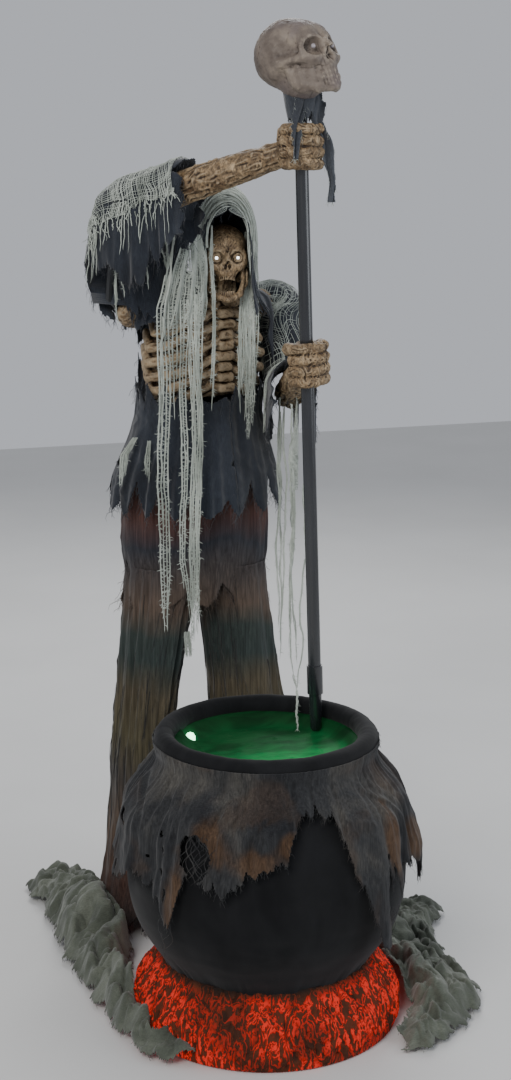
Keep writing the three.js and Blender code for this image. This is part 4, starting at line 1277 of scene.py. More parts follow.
def build_curtains():
    """Torn gauze strips: a wide web and its strips on the right of the face, a thick fall on the left."""
    rng = np.random.default_rng(91)
    web = net("hood_web", hood_web, 40, 66, GAUZE, 92, 0.0009, 0.08, 0.05)
    drape_over(web, "gauze")
    made = []
    for i, (route, width, cords, ragged) in enumerate([
        ([(-0.170, -0.162, 1.590), (-0.193, -0.168, 1.520), (-0.210, -0.188, 1.236), (-0.218, -0.198, 0.969),
          (-0.214, -0.198, 0.786)],
         [0.026, 0.030, 0.027, 0.025, 0.008], 4, 0.08),
        ([(-0.150, -0.160, 1.590), (-0.168, -0.166, 1.530), (-0.178, -0.182, 1.300), (-0.181, -0.184, 1.250)],
         [0.024, 0.024, 0.014, 0.006], 3, 0.3),
        ([(-0.140, -0.168, 1.535), (-0.158, -0.189, 1.230), (-0.168, -0.198, 0.960), (-0.152, -0.198, 0.800)],
         [0.020, 0.016, 0.014, 0.012], 3, 0.12),
        ([(-0.112, -0.166, 1.545), (-0.124, -0.191, 1.228), (-0.139, -0.201, 0.958), (-0.143, -0.201, 0.760)],
         [0.026, 0.026, 0.026, 0.016], 7, 0.12),
        ([(-0.100, -0.166, 1.560), (-0.108, -0.180, 1.390), (-0.116, -0.184, 1.290)], [0.016, 0.014, 0.006],
         3, 0.3),
        ([(-0.046, -0.140, 1.690), (-0.061, -0.165, 1.529), (-0.070, -0.176, 1.330), (-0.074, -0.178, 1.272)],
         [0.004, 0.007, 0.010, 0.003], 3, 0.15),
        ([(0.068, -0.126, 1.671), (0.034, -0.163, 1.480), (0.024, -0.170, 1.335), (0.020, -0.170, 1.235)],
         [0.030, 0.042, 0.048, 0.026], 11, 0.2),
        ([(0.088, -0.118, 1.669), (0.054, -0.158, 1.480), (0.043, -0.166, 1.340), (0.032, -0.172, 1.200)],
         [0.012, 0.020, 0.022, 0.010], 5, 0.12),
        ([(0.016, -0.164, 1.420), (0.000, -0.172, 1.300)], [0.014, 0.006], 3, 0.4),
    ]):
        made.append(strip(torso_points(*route), width, cords, 500 + 3 * i, ragged))
    drape_over(strips_object("hood_strips", made, 0.0014, 0.0009, 0.0006), "gauze")
    arches = []
    for i in range(58):
        depth = 0.80 - 1.6 * ((i + rng.random()) / 58) ** 1.1
        girth = math.sqrt(1 - depth ** 2)
        turn = np.linspace(-rng.uniform(0.9, 1.9), rng.uniform(1.4, 1.75), 40)
        over = np.stack([0.0735 * girth * np.sin(turn), np.full(40, -0.015 - 0.091 * depth),
                         1.66 + 0.119 * girth * np.cos(turn)], -1)
        tail = over[-1] + np.outer(np.linspace(0.1, 1, 8), (0.002, -0.008, -rng.uniform(0.02, 0.09)))
        over[:, 1] += 0.004 * np.sin(turn * 3 + i * 1.7) + 0.002 * np.sin(turn * 9 + i)
        arches.append(mapped(HEAD, np.vstack([over, tail])))
    ends = [strip(torso_points((-0.151, -0.186, 0.79), (-0.152, -0.19, 0.722)), [0.012, 0.012], 9, 580, 0.1,
                  0.004)]
    drape_over(threads("hood_arches", arches, rng.uniform(0.0010, 0.0019, len(arches)), GAUZE), "gauze")
    drape_over(strips_object("hood_strip_end", ends, 0.0012, 0.0006, 0.0004), "gauze")


# ---------------------------------------------------------------- cape, tunic, sleeves, in the torso's frame

CAPE_TOP, CAPE_DROP = 1.575, 0.293
CAPE = [  # height, half width, half depth, y, half width of the open front
    (1.282, 0.158, 0.112, -0.020, 0.150), (1.330, 0.166, 0.118, -0.020, 0.146),
    (1.420, 0.176, 0.121, -0.020, 0.140), (1.490, 0.186, 0.108, -0.018, 0.122),
    (1.520, 0.176, 0.092, -0.018, 0.096), (1.542, 0.132, 0.078, -0.022, 0.066),
    (1.560, 0.096, 0.072, -0.034, 0.050), (CAPE_TOP, 0.080, 0.070, -0.044, 0.046),
]


def cape_at(u, v):
    z = CAPE_TOP - CAPE_DROP * v
    half, deep, y, opening = spline(CAPE, z).T
    start = np.arcsin(np.clip(opening / half, 0.05, 0.96))
    angle = start + u * 2 * (math.pi - start)
    more = (folds(angle, z * 7, 26, 31) * (0.004 + 0.008 * v)
            + 0.006 * np.exp(-(np.minimum(u, 1 - u) / 0.03) ** 2))
    return mapped(TORSO, np.stack([(half + more) * np.sin(angle), y - (deep + more) * np.cos(angle), z], -1))


TUNIC_TOP, TUNIC_DROP = 1.36, 0.33
TUNIC = [  # height, half width, half depth, y
    (1.030, 0.200, 0.163, 0.000), (1.105, 0.191, 0.156, -0.002), (1.200, 0.162, 0.131, -0.012),
    (1.270, 0.150, 0.114, -0.020), (1.310, 0.154, 0.114, -0.024), (TUNIC_TOP, 0.160, 0.116, -0.027),
]


def tunic_at(u, v):
    z = TUNIC_TOP - TUNIC_DROP * v
    half, deep, y = spline(TUNIC, z).T
    angle = u * 2 * math.pi
    more = (folds(angle, z * 4, 30, 41) * (0.003 + 0.011 * v ** 1.3)
            + 0.004 * crumple(np.stack([angle * 0.15, z, z * 0], -1), 0.05, 43))
    return mapped(TORSO, np.stack([(half + more) * np.sin(angle), y - (deep + more) * np.cos(angle), z], -1))


def build_cape_and_tunic():
    def keep_cape(u, v, middle):
        x, y, z = mapped(TORSO.inverted(), middle).T
        ragged = fbm(middle, (0.02, 0.02, 0.05), 36) - 0.5
        bare = (x < -0.02) & (y < 0.085 + 0.06 * ragged) & (z < 1.470 + 0.05 * ragged)
        return (v < 0.97 - 0.22 * torn(u, 19, 33)) & ~bare

    cape = sheet("shoulder_cape_cloth", cape_at, 220, 90, SLATE, CLOTH_THICK, keep_cape)
    edge = fringe("cape_frayed_edge", cape, SLATE, 0.3, 0.022, 35)
    ride_as(cape, "upper_body", "slate_cloth", "shoulder_cape")
    ride_as(edge, "upper_body", "slate_cloth")

    def keep(u, v, middle):
        top = 0.2 - 0.17 * torn(u, 21, 45)
        hem = 0.98 - 0.3 * torn(u, 17, 47) ** 1.2
        hole = value_noise(np.stack([u * 26, v * 8, u * 0], -1), 1.0, 49)
        return (v > top) & (v < hem) & ~((hole > 0.93) & (v > 0.45))

    tunic = sheet("tunic_cloth", tunic_at, 320, 110, SLATE, CLOTH_THICK, keep)
    edge = fringe("tunic_frayed_edge", tunic, SLATE, 0.5, 0.03, 53)
    ride_as(tunic, "upper_body", "slate_cloth", "tunic")
    ride_as(edge, "upper_body", "slate_cloth")


# Along the arm: share, centre x y z, radius, and how far the cloth hangs below the arm in front and behind
SLEEVES = {
    "right": {
        "rows": [(0.0, -0.170, 0.004, 1.492, 0.030, 0.02, 0.03),
                 (0.15, -0.226, -0.012, 1.550, 0.050, 0.06, 0.07),
                 (0.35, -0.243, -0.046, 1.655, 0.052, 0.10, 0.10),
                 (0.52, -0.246, -0.094, 1.728, 0.054, 0.235, 0.17),
                 (0.7, -0.220, -0.148, 1.752, 0.054, 0.20, 0.17),
                 (0.86, -0.190, -0.198, 1.770, 0.055, 0.13, 0.13),
                 (1.0, -0.160, -0.250, 1.788, 0.056, 0.10, 0.11)],
        "seed": 101,
    },
    "left": {
        "rows": [(0.0, 0.158, 0.010, 1.502, 0.026, 0.01, 0.03),
                 (0.2, 0.226, -0.012, 1.492, 0.048, 0.05, 0.06),
                 (0.45, 0.216, -0.056, 1.402, 0.050, 0.06, 0.08),
                 (0.65, 0.192, -0.118, 1.304, 0.052, 0.09, 0.10),
                 (0.78, 0.152, -0.170, 1.308, 0.053, 0.13, 0.14),
                 (0.9, 0.108, -0.232, 1.332, 0.051, 0.11, 0.12),
                 (1.0, 0.066, -0.300, 1.358, 0.046, 0.07, 0.08)],
        "seed": 131,
    },
}


def sleeve_place(side, out=0.0):
    rows, seed = SLEEVES[side]["rows"], SLEEVES[side]["seed"]

    def place(u, v):
        """u runs along the arm; v goes from the front hem over the arm to the back hem."""
        x, y, z, radius, front, back = spline(rows, u).T
        before = spline(rows, np.clip(u - 0.04, 0, 1))[:, :3]
        along = spline(rows, np.clip(u + 0.04, 0, 1))[:, :3] - before
        along /= np.linalg.norm(along, axis=1, keepdims=True)
        across = np.stack([along[:, 1], -along[:, 0], np.zeros_like(u)], -1)
        flat = np.linalg.norm(across, axis=1, keepdims=True)
        across = np.where(flat > 0.15, across / np.maximum(flat, 1e-6), (-0.9, -0.43, 0))
        across *= np.sign(across[:, :1] * -0.87 + across[:, 1:2] * -0.48 + 1e-9)
        upward = np.cross(along, across)
        upward *= np.sign(upward[:, 2:3] + 1e-9)
        part = (v - 0.5) / 0.2
        angle = np.clip(part, -1, 1) * math.pi / 2
        hang = np.clip(np.abs(part) - 1, 0, None) / 1.5
        drop = np.where(v < 0.5, front, back) * hang
        where = np.stack([u * 1.4, v * 0.5 * np.sign(v - 0.5), z * 0], -1)
        wave = crumple(where, (0.13, 0.22, 1), seed) * (0.004 + 0.010 * hang) + out
        ripple = (folds(u * 5, v * 2, 13, seed + 3) - 0.2) * 0.014 * hang
        reach = radius * (1 - 0.35 * hang) + wave + ripple
        points = (np.stack([x, y, z], -1) - across * (np.sin(angle) * reach)[:, None]
                  + upward * (np.cos(angle) * reach)[:, None])
        points[:, 2] -= drop
        return mapped(TORSO, points)

    return place


def build_sleeve(side):
    seed = SLEEVES[side]["seed"]

    def keep(u, v, middle):
        hem = 0.10 * torn(u, 11, seed + 1) + 0.01
        mouth = 0.07 * torn(v, 9, seed + 2)
        x, _, z = mapped(TORSO.inverted(), middle).T
        slant = (1.476 + 1.5 * np.maximum(0, -0.205 - x)
                 + 0.06 * (fbm(middle, (0.015, 0.015, 0.06), seed + 6) - 0.5))
        above = (z > slant) | (side == "left")
        shoulder = 0.02 + 0.06 * torn(v, 13, seed + 5)
        return (v > hem) & (v < 1 - hem) & (u < 0.995 - mouth) & (u > shoulder) & above

    cloth = sheet(f"{side}_sleeve_cloth", sleeve_place(side), 150, 130, SLATE, CLOTH_THICK, keep)
    edge = fringe(f"{side}_sleeve_frayed_edge", cloth, SLATE, 0.4, 0.025, seed + 4)
    ride_as(cloth, "upper_body", "slate_cloth", f"{side}_sleeve")
    ride_as(edge, "upper_body", "slate_cloth")


def build_gusset():
    """The torn side of the right sleeve that falls from the forearm to the shoulder, behind the gauze web."""
    def place(u, v):
        top = spline([(0, -0.244, -0.085, 1.715), (0.5, -0.200, -0.165, 1.742), (1, -0.140, -0.236, 1.775)],
                     u)
        low = spline([(0, -0.215, -0.060, 1.500), (0.5, -0.155, -0.095, 1.505), (1, -0.080, -0.112, 1.520)],
                     u)
        part = v[:, None]
        points = top * (1 - part) + low * part
        points[:, 1] += 0.030 * np.sin(v * math.pi) + 0.008 * np.sin(u * 17 + v * 3) * np.sin(v * math.pi)
        points[:, 2] -= 0.02 * np.sin(u * math.pi)
        return mapped(TORSO, points)

    def keep(u, v, middle):
        return (v < 0.99 - 0.12 * torn(u, 7, 143)) & (u < 0.99 - 0.10 * torn(v, 9, 144))

    gusset = sheet("right_sleeve_gusset", place, 90, 110, SLATE, CLOTH_THICK, keep)
    edge = fringe("gusset_frayed_edge", gusset, SLATE, 0.4, 0.02, 145)
    ride_as(gusset, "upper_body", "slate_cloth")
    ride_as(edge, "upper_body", "slate_cloth")


def hanging(tops, drops, seed, sway=0.004, count=22):
    rng = np.random.default_rng(seed)
    return [wander(top, np.asarray(top) + (rng.normal() * 0.006, rng.normal() * 0.006, -drop), count, sway,
                   rng.integers(1 << 30))
            for top, drop in zip(tops, drops)]


def build_sleeve_gauze():
    rng = np.random.default_rng(151)
    right = sleeve_place("right", 0.005)
    over = net("right_sleeve_gauze", lambda u, v: right(0.36 + 0.6 * u, 0.27 + 0.5 * v),
               60, 46, GAUZE, 153, 0.0007, 0.2)
    ride_as(over, "upper_body", "gauze")
    tops = [right(np.array([a]), np.array([b]))[0]
            for a, b in zip(rng.uniform(0.36, 0.95, 90), rng.uniform(0.25, 0.31, 90))]
    drips = hanging(tops, 0.008 + 0.10 * rng.random(90) ** 2.5, 155, 0.0012, 12)
    cords = [wander(a, b, 30, 0.003, 160 + i) for i, (a, b) in enumerate(torso_pairs([
        ((-0.166, -0.188, 1.745), (-0.196, -0.172, 1.500)),
        ((-0.196, -0.172, 1.500), (-0.222, -0.190, 1.210)),
        ((-0.268, -0.09, 1.750), (-0.255, -0.08, 1.480)), ((-0.272, -0.094, 1.745), (-0.258, -0.082, 1.530)),
        ((-0.262, -0.10, 1.740), (-0.251, -0.10, 1.536)), ((-0.226, -0.14, 1.720), (-0.210, -0.13, 1.560)),
        ((-0.190, -0.17, 1.745), (-0.166, -0.14, 1.490)), ((-0.200, -0.17, 1.740), (-0.176, -0.15, 1.60)),
    ]))]
    fibres = bundle(cords, 4, 0.0024, 167)
    hairs = barbs(cords, 120, 0.009, 169)
    radii = [rng.uniform(0.0006, 0.0014, len(drips)), np.full(len(cords), 0.0022),
             rng.uniform(0.0007, 0.0012, len(fibres)), np.full(len(hairs), 0.0004)]
    strings = threads("right_sleeve_strings", drips + cords + fibres + hairs, np.concatenate(radii), GAUZE)
    ride_as(strings, "upper_body", "gauze")

    left = sleeve_place("left", 0.006)
    over = net("left_sleeve_gauze", lambda u, v: left(0.02 + 0.9 * u, 0.08 + 0.5 * v),
               62, 44, GAUZE, 171, 0.0007, 0.18)
    ride_as(over, "upper_body", "gauze")

    def curtain(u, v):
        top = spline([(0, 0.214, -0.085, 1.40), (0.4, 0.176, -0.165, 1.32), (0.75, 0.130, -0.225, 1.31),
                      (1, 0.098, -0.262, 1.33)], u)
        low = spline([(0, 0.205, -0.115, 1.14), (0.4, 0.160, -0.175, 1.09), (0.75, 0.112, -0.235, 1.10),
                      (1, 0.084, -0.270, 1.17)], u)
        points = top * (1 - v[:, None]) + low * v[:, None]
        points[:, 0] += np.sin(u * 34 + v * 3) * 0.006 * v
        points[:, 1] += np.cos(u * 29 + v * 2) * 0.008 * v
        return mapped(TORSO, points)

    fall = net("left_arm_curtain", curtain, 66, 52, GAUZE, 173, 0.00095, 0.12, 0.35)
    ride_as(fall, "upper_body", "gauze")
    routes = [wander(a, b, 34, 0.005 * min(1, math.dist(a, b) / 0.3), 180 + i)
              for i, (a, b) in enumerate(torso_pairs([
        ((0.104, -0.19, 1.30), (0.100, -0.20, 0.690)), ((0.110, -0.20, 1.28), (0.106, -0.205, 0.720)),
        ((0.098, -0.20, 1.27), (0.094, -0.20, 0.760)), ((0.070, -0.28, 1.30), (0.052, -0.30, 1.134)),
        ((0.052, -0.30, 1.134), (0.025, -0.35, 0.697)), ((0.058, -0.30, 1.160), (0.031, -0.35, 0.720)),
        ((0.025, -0.35, 0.697), (-0.002, -0.40, 0.679)), ((-0.002, -0.40, 0.679), (-0.039, -0.45, 0.604)),
        ((0.018, -0.41, 1.33), (0.003, -0.42, 0.981)), ((0.003, -0.42, 0.981), (-0.002, -0.40, 0.679)),
        ((0.012, -0.43, 1.375), (0.006, -0.425, 1.06)), ((0.16, -0.17, 1.20), (0.152, -0.18, 0.93)),
        ((0.135, -0.2, 1.18), (0.128, -0.2, 0.86)), ((-0.01, -0.43, 1.372), (-0.012, -0.435, 1.25)),
    ]))]
    fibres = bundle(routes, 4, 0.0022, 191)
    hairs = barbs(routes, 120, 0.009, 193)
    radii = [np.full(len(routes), 0.0020), rng.uniform(0.0006, 0.0011, len(fibres)),
             np.full(len(hairs), 0.0004)]
    strings = threads("left_arm_strings", routes + fibres + hairs, np.concatenate(radii), GAUZE)
    ride_as(strings, "upper_body", "gauze")
    scraps = [strip(torso_points((-0.184, -0.030, 1.215), (-0.214, -0.034, 1.180), (-0.224, -0.034, 1.098)),
                    [0.010, 0.018, 0.010], 6, 611),
              strip(torso_points((-0.172, -0.070, 1.212), (-0.186, -0.082, 1.170), (-0.190, -0.088, 1.112)),
                    [0.006, 0.012, 0.006], 4, 613)]
    ride_as(strips_object("tunic_gauze_scraps", scraps, 0.0014, 0.0009, 0.0005), "upper_body", "gauze")


# ---------------------------------------------------------------- staff wrap, in the staff's frame

def build_neck_wrap():
    top = STAFF_LENGTH

    def collar(u, v):
        z = top + 0.036 - 0.084 * v
        angle = u * 2 * math.pi
        radius = (0.020 + 0.006 * np.sin(v * math.pi) + 0.004 * folds(angle, z * 30, 9, 201)
                  + 0.016 * (1 - v) ** 3)
        return mapped(STAFF, np.stack([radius * np.cos(angle), radius * np.sin(angle), z], -1))

    wrap = sheet("staff_neck_cloth", collar, 90, 50, WORN, CLOTH_THICK,
                 lambda u, v, m: v < 0.98 - 0.3 * torn(u, 7, 203), around=True)

    def tail(u, v):
        middle = spline([(0, 0.020, -0.020, top + 0.012), (0.3, 0.026, -0.027, top - 0.05),
                         (0.6, 0.044, -0.034, top - 0.115),
                         (1, 0.047, -0.040, top - 0.21)], v)
        wide = 0.015 * (1 - 0.75 * v ** 1.5) * (1 + 0.3 * np.sin(v * 13))
        fold = 0.004 * np.sin(u * 9 + v * 7)
        middle[:, 0] += (u - 0.5) * 2 * wide + fold * 0.3 + 0.003 * np.sin(v * 17)
        middle[:, 1] += fold - 0.012 * (u - 0.5)
        return mapped(STAFF, middle)

    longer = sheet("staff_neck_tail", tail, 26, 90, WORN, 0.0014,
                   lambda u, v, m: np.abs(u - 0.5) < 0.5 - 0.14 * torn(v, 9, 205))

    def second(u, v):
        middle = spline([(0, -0.010, -0.022, top + 0.006), (0.4, -0.032, -0.030, top - 0.05),
                         (1, -0.050, -0.046, top - 0.118)], v)
        middle[:, 0] += (u - 0.5) * 0.034 * (1 - 0.6 * v)
        middle[:, 1] += 0.004 * np.sin(u * 9 + v * 5)
        return mapped(STAFF, middle)

    flap = sheet("staff_neck_flap", second, 20, 60, WORN, 0.0014,
                 lambda u, v, m: np.abs(u - 0.5) < 0.5 - 0.16 * torn(v, 7, 207))
    fuzz = []
    for i, obj in enumerate((wrap, longer, flap)):
        fuzz.append(fringe(f"staff_cloth_fuzz_{i}", obj, GAUZE if i else WORN, 0.5, 0.011, 209 + i, 0.0003))
    for obj in (wrap, longer, flap, *fuzz):
        ride_as(obj, "upper_body", "slate_cloth")
    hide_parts("staff_neck_wrap")


build_hood()
build_curtains()
build_cape_and_tunic()
build_sleeve("right")
build_sleeve("left")
build_gusset()
build_sleeve_gauze()
build_neck_wrap()


# ---------------------------------------------------------------- trousers

WAIST_TOP, WAIST_HEM = 1.100, 0.800
LEG_TOP, LEG_HEM = 0.900, 0.012
WAIST = [  # height, half width, half depth, x, y
    (WAIST_HEM, 0.176, 0.100, 0.0, 0.540), (0.868, 0.160, 0.106, 0.0, 0.538),
    (0.930, 0.168, 0.113, 0.0, 0.536),
    (1.000, 0.169, 0.117, 0.0, 0.534), (WAIST_TOP, 0.158, 0.110, 0.0, 0.532),
]
LEGS = {  # the same columns
    "right": [(0.010, 0.098, 0.112, -0.170, 0.545), (0.060, 0.078, 0.100, -0.160, 0.545),
              (0.200, 0.064, 0.082, -0.150, 0.545), (0.480, 0.062, 0.078, -0.132, 0.542),
              (0.760, 0.069, 0.086, -0.098, 0.540), (0.900, 0.078, 0.098, -0.077, 0.538)],
    "left": [(0.010, 0.128, 0.124, 0.182, 0.540), (0.060, 0.112, 0.112, 0.172, 0.542),
             (0.200, 0.096, 0.096, 0.160, 0.544), (0.480, 0.084, 0.088, 0.134, 0.542),
             (0.760, 0.074, 0.090, 0.100, 0.540), (0.900, 0.078, 0.098, 0.078, 0.538)],
}
LEG_AREA = {"right": 0.52, "left": 0.57}
LEG_SEED = {"right": 220, "left": 240}


def trouser_place(rows, top, low, seed, deep):
    def place(u, v):
        z = top + (low - top) * v
        half, depth, x, y = spline(rows, z).T
        angle = u * 2 * math.pi
        more = folds(angle, z * 1.6, 20, seed, 1) * deep
        where = np.stack([np.sin(angle) * 0.08, np.cos(angle) * 0.08, z * 0.35], -1)
        more += crumple(where, 0.035, seed + 2) * 0.004
        more += np.sin(z * 40 + 3 * np.sin(angle)) * 0.0022 * smooth(z, 0.5, 0.05)
        return np.stack([x + (half + more) * np.sin(angle), y - (depth + more) * np.cos(angle), z], -1)

    return place


def leg_place(side):
    return trouser_place(LEGS[side], LEG_TOP, LEG_HEM, LEG_SEED[side], 0.009)


def build_trousers():
    parts = []
    for side in LEGS:
        seed = LEG_SEED[side]

        def keep(u, v, middle):
            return v < 0.995 - 0.075 * torn(u, 13, seed + 3)

        leg = sheet(f"{side}_trouser_leg", leg_place(side), 190, 240, DYED, CLOTH_THICK, keep, around=True)
        edge = fringe(f"{side}_leg_frayed_edge", leg, DYED, 0.6, 0.03, seed + 4)
        parts.append((leg, edge, (0.62, 0.92), LEG_AREA[side]))
    place = trouser_place(WAIST, WAIST_TOP, WAIST_HEM, 260, 0.006)
    waist = sheet("trouser_waist", place, 240, 100, DYED, CLOTH_THICK,
                  lambda u, v, m: v < 0.98 - 0.42 * torn(u, 11, 263), around=True)
    edge = fringe("waist_frayed_edge", waist, DYED, 0.6, 0.04, 264)
    parts.append((waist, edge, (1.05, 0.30), 0.255))
    for cloth, edge, flat, area in parts:
        for obj in (cloth, edge):
            ride_as(obj, "base", "dyed_gauze")
    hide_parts("trousers")


def build_pulled_threads():
    """Threads pulled loose along the trouser legs."""
    rng = np.random.default_rng(270)
    runs = []
    for side in LEGS:
        place = leg_place(side)
        for _ in range(150):
            v = np.linspace(0, rng.uniform(0.12, 0.5), 16) + rng.uniform(0, 0.5)
            u = rng.uniform(0, 1) + 0.012 * np.sin(v * rng.uniform(6, 16) + rng.uniform(0, 6))
            points = place(u, np.clip(v, 0, 1))
            middle = points.mean(0) * (1, 1, 0)
            out = points - middle
            out[:, 2] = 0
            runs.append(points + out / (np.linalg.norm(out, axis=1, keepdims=True) + 1e-9) * 0.0022)
    hairs = threads("trouser_pulled_threads", runs, rng.uniform(0.0004, 0.0009, len(runs)), TORN, sides=4)
    ride_as(hairs, "base", "dyed_gauze")


# ---------------------------------------------------------------- cauldron

COVER_TOP, COVER_LOW = 0.613, 0.140
RIM_Z, RIM_R, RIM_THICK = 0.634, 0.218, 0.0215
BREW_Z, BREW_EDGE, BREW_BANK = 0.5972, 0.1985, 0.028
LAMP = (-0.133, 0.124)
COAL_TOP, COAL_DROP = 0.152, 0.150
POT = [(0.136, 0.218), (0.1503, 0.224), (0.190, 0.254), (0.232, 0.281), (0.290, 0.300), (0.350, 0.306),
       (0.400, 0.303), (0.445, 0.292), (0.500, 0.272), (0.545, 0.248), (0.580, 0.216), (COVER_TOP, 0.205)]


def pot_radius(z):
    return spline(POT, z)[:, 0]


def build_cover():
    def place(u, v):
        angle = u * 2 * math.pi
        z = COVER_TOP - (COVER_TOP - COVER_LOW) * v
        between_ribs = 0.5 - 0.5 * np.cos(4 * (angle - math.pi / 4))
        sag = -0.009 * between_ribs * np.sin(np.clip(v, 0, 1) * math.pi)
        pucker = folds(angle, z * 3, 60, 301) * 0.005 * (smooth(v, 0.35, 0.0) + smooth(v, 0.85, 1.0))
        drag = crumple(np.stack([angle * 0.3, z, z * 0], -1), (0.25, 0.08, 1), 303) * 0.0025
        radius = pot_radius(z) + sag + pucker + drag
        return np.stack([radius * np.cos(angle), radius * np.sin(angle), z], -1)

    cover = sheet("cauldron_cover", place, 300, 110, CANVAS, 0.002, around=True)
    ride_as(cover, "base", "black_cloth", "cauldron_shell")


def build_rim():
    """A stuffed canvas ring: puckered on its inner side, with a seam underneath."""
    around, section = 320, 40
    u, w = np.meshgrid(np.arange(around) / around, np.arange(section) / section, indexing="ij")
    u, w = u.ravel(), w.ravel()
    angle, turn = u * 2 * math.pi, w * 2 * math.pi
    where = np.stack([angle * 1.4, turn * 0.35, u * 0], -1)
    inner = 0.5 - 0.5 * np.cos(turn)
    pucker = (folds(angle, turn * 0.25, 96, 311) - 0.3) * 0.0006 * (0.2 + inner)
    soft = (value_noise(where * 4, 1.0, 313) - 0.5) * 0.0022
    seam = -0.003 * np.exp(-((np.mod(turn - 1.35 * math.pi + math.pi, 2 * math.pi) - math.pi) / 0.13) ** 2)
    minor = RIM_THICK * 1.03 + pucker + soft + seam
    radius = RIM_R + minor * np.cos(turn)
    points = np.stack([radius * np.cos(angle), radius * np.sin(angle), RIM_Z + minor * np.sin(turn) * 1.02],
                      -1)
    i, j = np.meshgrid(np.arange(around), np.arange(section), indexing="ij")
    a, b = i * section + j, ((i + 1) % around) * section + j
    c, d = ((i + 1) % around) * section + (j + 1) % section, i * section + (j + 1) % section
    rim = mesh_object("cauldron_rim_pad", points, np.stack([a, b, c, d], -1).reshape(-1, 4), CANVAS)
    ride_as(rim, "base", "black_cloth", "cauldron_rim")


def build_brew():
    """The lit liquid, dished up to the rim."""
    count, rings = 160, 70
    u, v = np.meshgrid(np.arange(count) / count, np.linspace(0.001, 1, rings), indexing="ij")
    angle, radius = u.ravel() * 2 * math.pi, v.ravel() * BREW_EDGE
    flat = np.stack([radius * np.cos(angle), radius * np.sin(angle), radius * 0], -1)
    by_lamp = np.hypot(flat[:, 0] - LAMP[0], flat[:, 1] - LAMP[1])
    swell = (fbm(flat, 0.07, 321) - 0.5) * 0.004 + 0.0008 * np.cos(radius * 120)
    bubbles = smooth(value_noise(flat, 0.016, 323), 0.82, 0.98) * 0.002
    bank = smooth(radius, 0.156, BREW_EDGE) * BREW_BANK * smooth(by_lamp, 0.009, 0.020)
    flat[:, 2] = BREW_Z + (swell + bubbles) * smooth(radius, 0.19, 0.16) * smooth(by_lamp, 0.006, 0.03) + bank
    i, j = np.meshgrid(np.arange(count), np.arange(rings - 1), indexing="ij")
    a, b = i * rings + j, ((i + 1) % count) * rings + j
    brew_top = mesh_object("glowing_brew", flat, np.stack([a, a + 1, b + 1, b], -1).reshape(-1, 4), BREW)
    lit = 0.22 + 0.85 * np.exp(-((flat[:, 0] - 0.04) / 0.17) ** 2 - ((flat[:, 1] + 0.12) / 0.14) ** 2)
    lit *= 0.25 + 0.75 * smooth(flat[:, 2], BREW_Z + 0.020, BREW_Z + 0.002)
    store(brew_top, "lit", lit + np.exp(-(by_lamp / 0.012) ** 2))
    ride_as(brew_top, "base", "brew", "brew_disc")


def build_coals():
    """The coals' glowing skirt."""
    profile = [(0.002, 0.2885), (0.040, 0.289), (0.070, 0.283), (0.095, 0.270), (0.125, 0.247),
               (COAL_TOP, 0.222)]

    def veins(rough):
        """Ridges that climb like flames, 0 in the cracks to 1 on the crests."""
        bend = np.stack([fbm(rough, 0.035, seed) - 0.5 for seed in (331, 332, 334)], -1)
        return 1 - np.abs(2 * fbm(rough + bend * 0.045, (0.011, 0.011, 0.040), 333, 3) - 1) * 2.3

    def rough_at(angle, z):
        return np.column_stack([np.cos(angle) * 0.28, np.sin(angle) * 0.28, z])

    def place(u, v):
        angle = u * 2 * math.pi
        z = COAL_TOP - COAL_DROP * v
        rough = rough_at(angle, z)
        lump = (fbm(rough, 0.05, 335) - 0.5) * 0.016
        radius = spline(profile, z)[:, 0] + (0.006 * veins(rough) + lump) * smooth(v, 1.02, 0.85)
        return np.column_stack([radius * np.cos(angle), radius * np.sin(angle), z])

    coals_skin = sheet("glowing_coal_skirt", place, 680, 100, COALS, 0.0, around=True)
    points = corners_of(coals_skin)
    rough = rough_at(np.arctan2(points[:, 1], points[:, 0]), points[:, 2])
    patchy = 0.55 + 0.45 * smooth(fbm(rough, 0.07, 337), 0.32, 0.56)
    crests = 0.45 + 0.55 * smooth(veins(rough), -0.60, 0.60)
    store(coals_skin, "ember", crests * patchy * smooth(points[:, 2], 0.158, 0.128))
    ride_as(coals_skin, "base", "coal", "coal_ring")


# DRAPE: height, radius. HEM: degrees round the cauldron, height.
# RUST: degrees, height, and how far each patch spreads both ways.
DRAPE_TOP, DRAPE_LOW = 0.636, 0.236
DRAPE = [(0.345, 0.316), (0.400, 0.312), (0.445, 0.303), (0.490, 0.291), (0.520, 0.280), (0.550, 0.262),
         (0.576, 0.246), (0.596, 0.237), (0.606, 0.236), (0.616, 0.238), (0.626, 0.2405), (0.640, 0.2415)]
HEM = [(-180, 0.36), (-165, 0.40), (-152, 0.36), (-145, 0.30), (-139, 0.43), (-133, 0.42), (-124, 0.40),
       (-115, 0.44), (-107, 0.455), (-100, 0.47), (-94, 0.555), (-79, 0.545), (-73, 0.45), (-66, 0.36),
       (-62, 0.255), (-57, 0.245), (-54, 0.43), (-51, 0.34), (-45, 0.40), (-29, 0.38), (-15, 0.30),
       (0, 0.38), (20, 0.33), (45, 0.42), (70, 0.30), (95, 0.40), (120, 0.33), (150, 0.42), (180, 0.36)]
RUST = [(-143, 0.36, 6, 0.10), (-131, 0.50, 8, 0.05), (-112, 0.46, 8, 0.035), (-98, 0.50, 5, 0.03),
        (-52, 0.46, 5, 0.09), (-29, 0.43, 9, 0.06), (30, 0.45, 12, 0.06), (85, 0.42, 14, 0.07),
        (140, 0.48, 9, 0.06)]


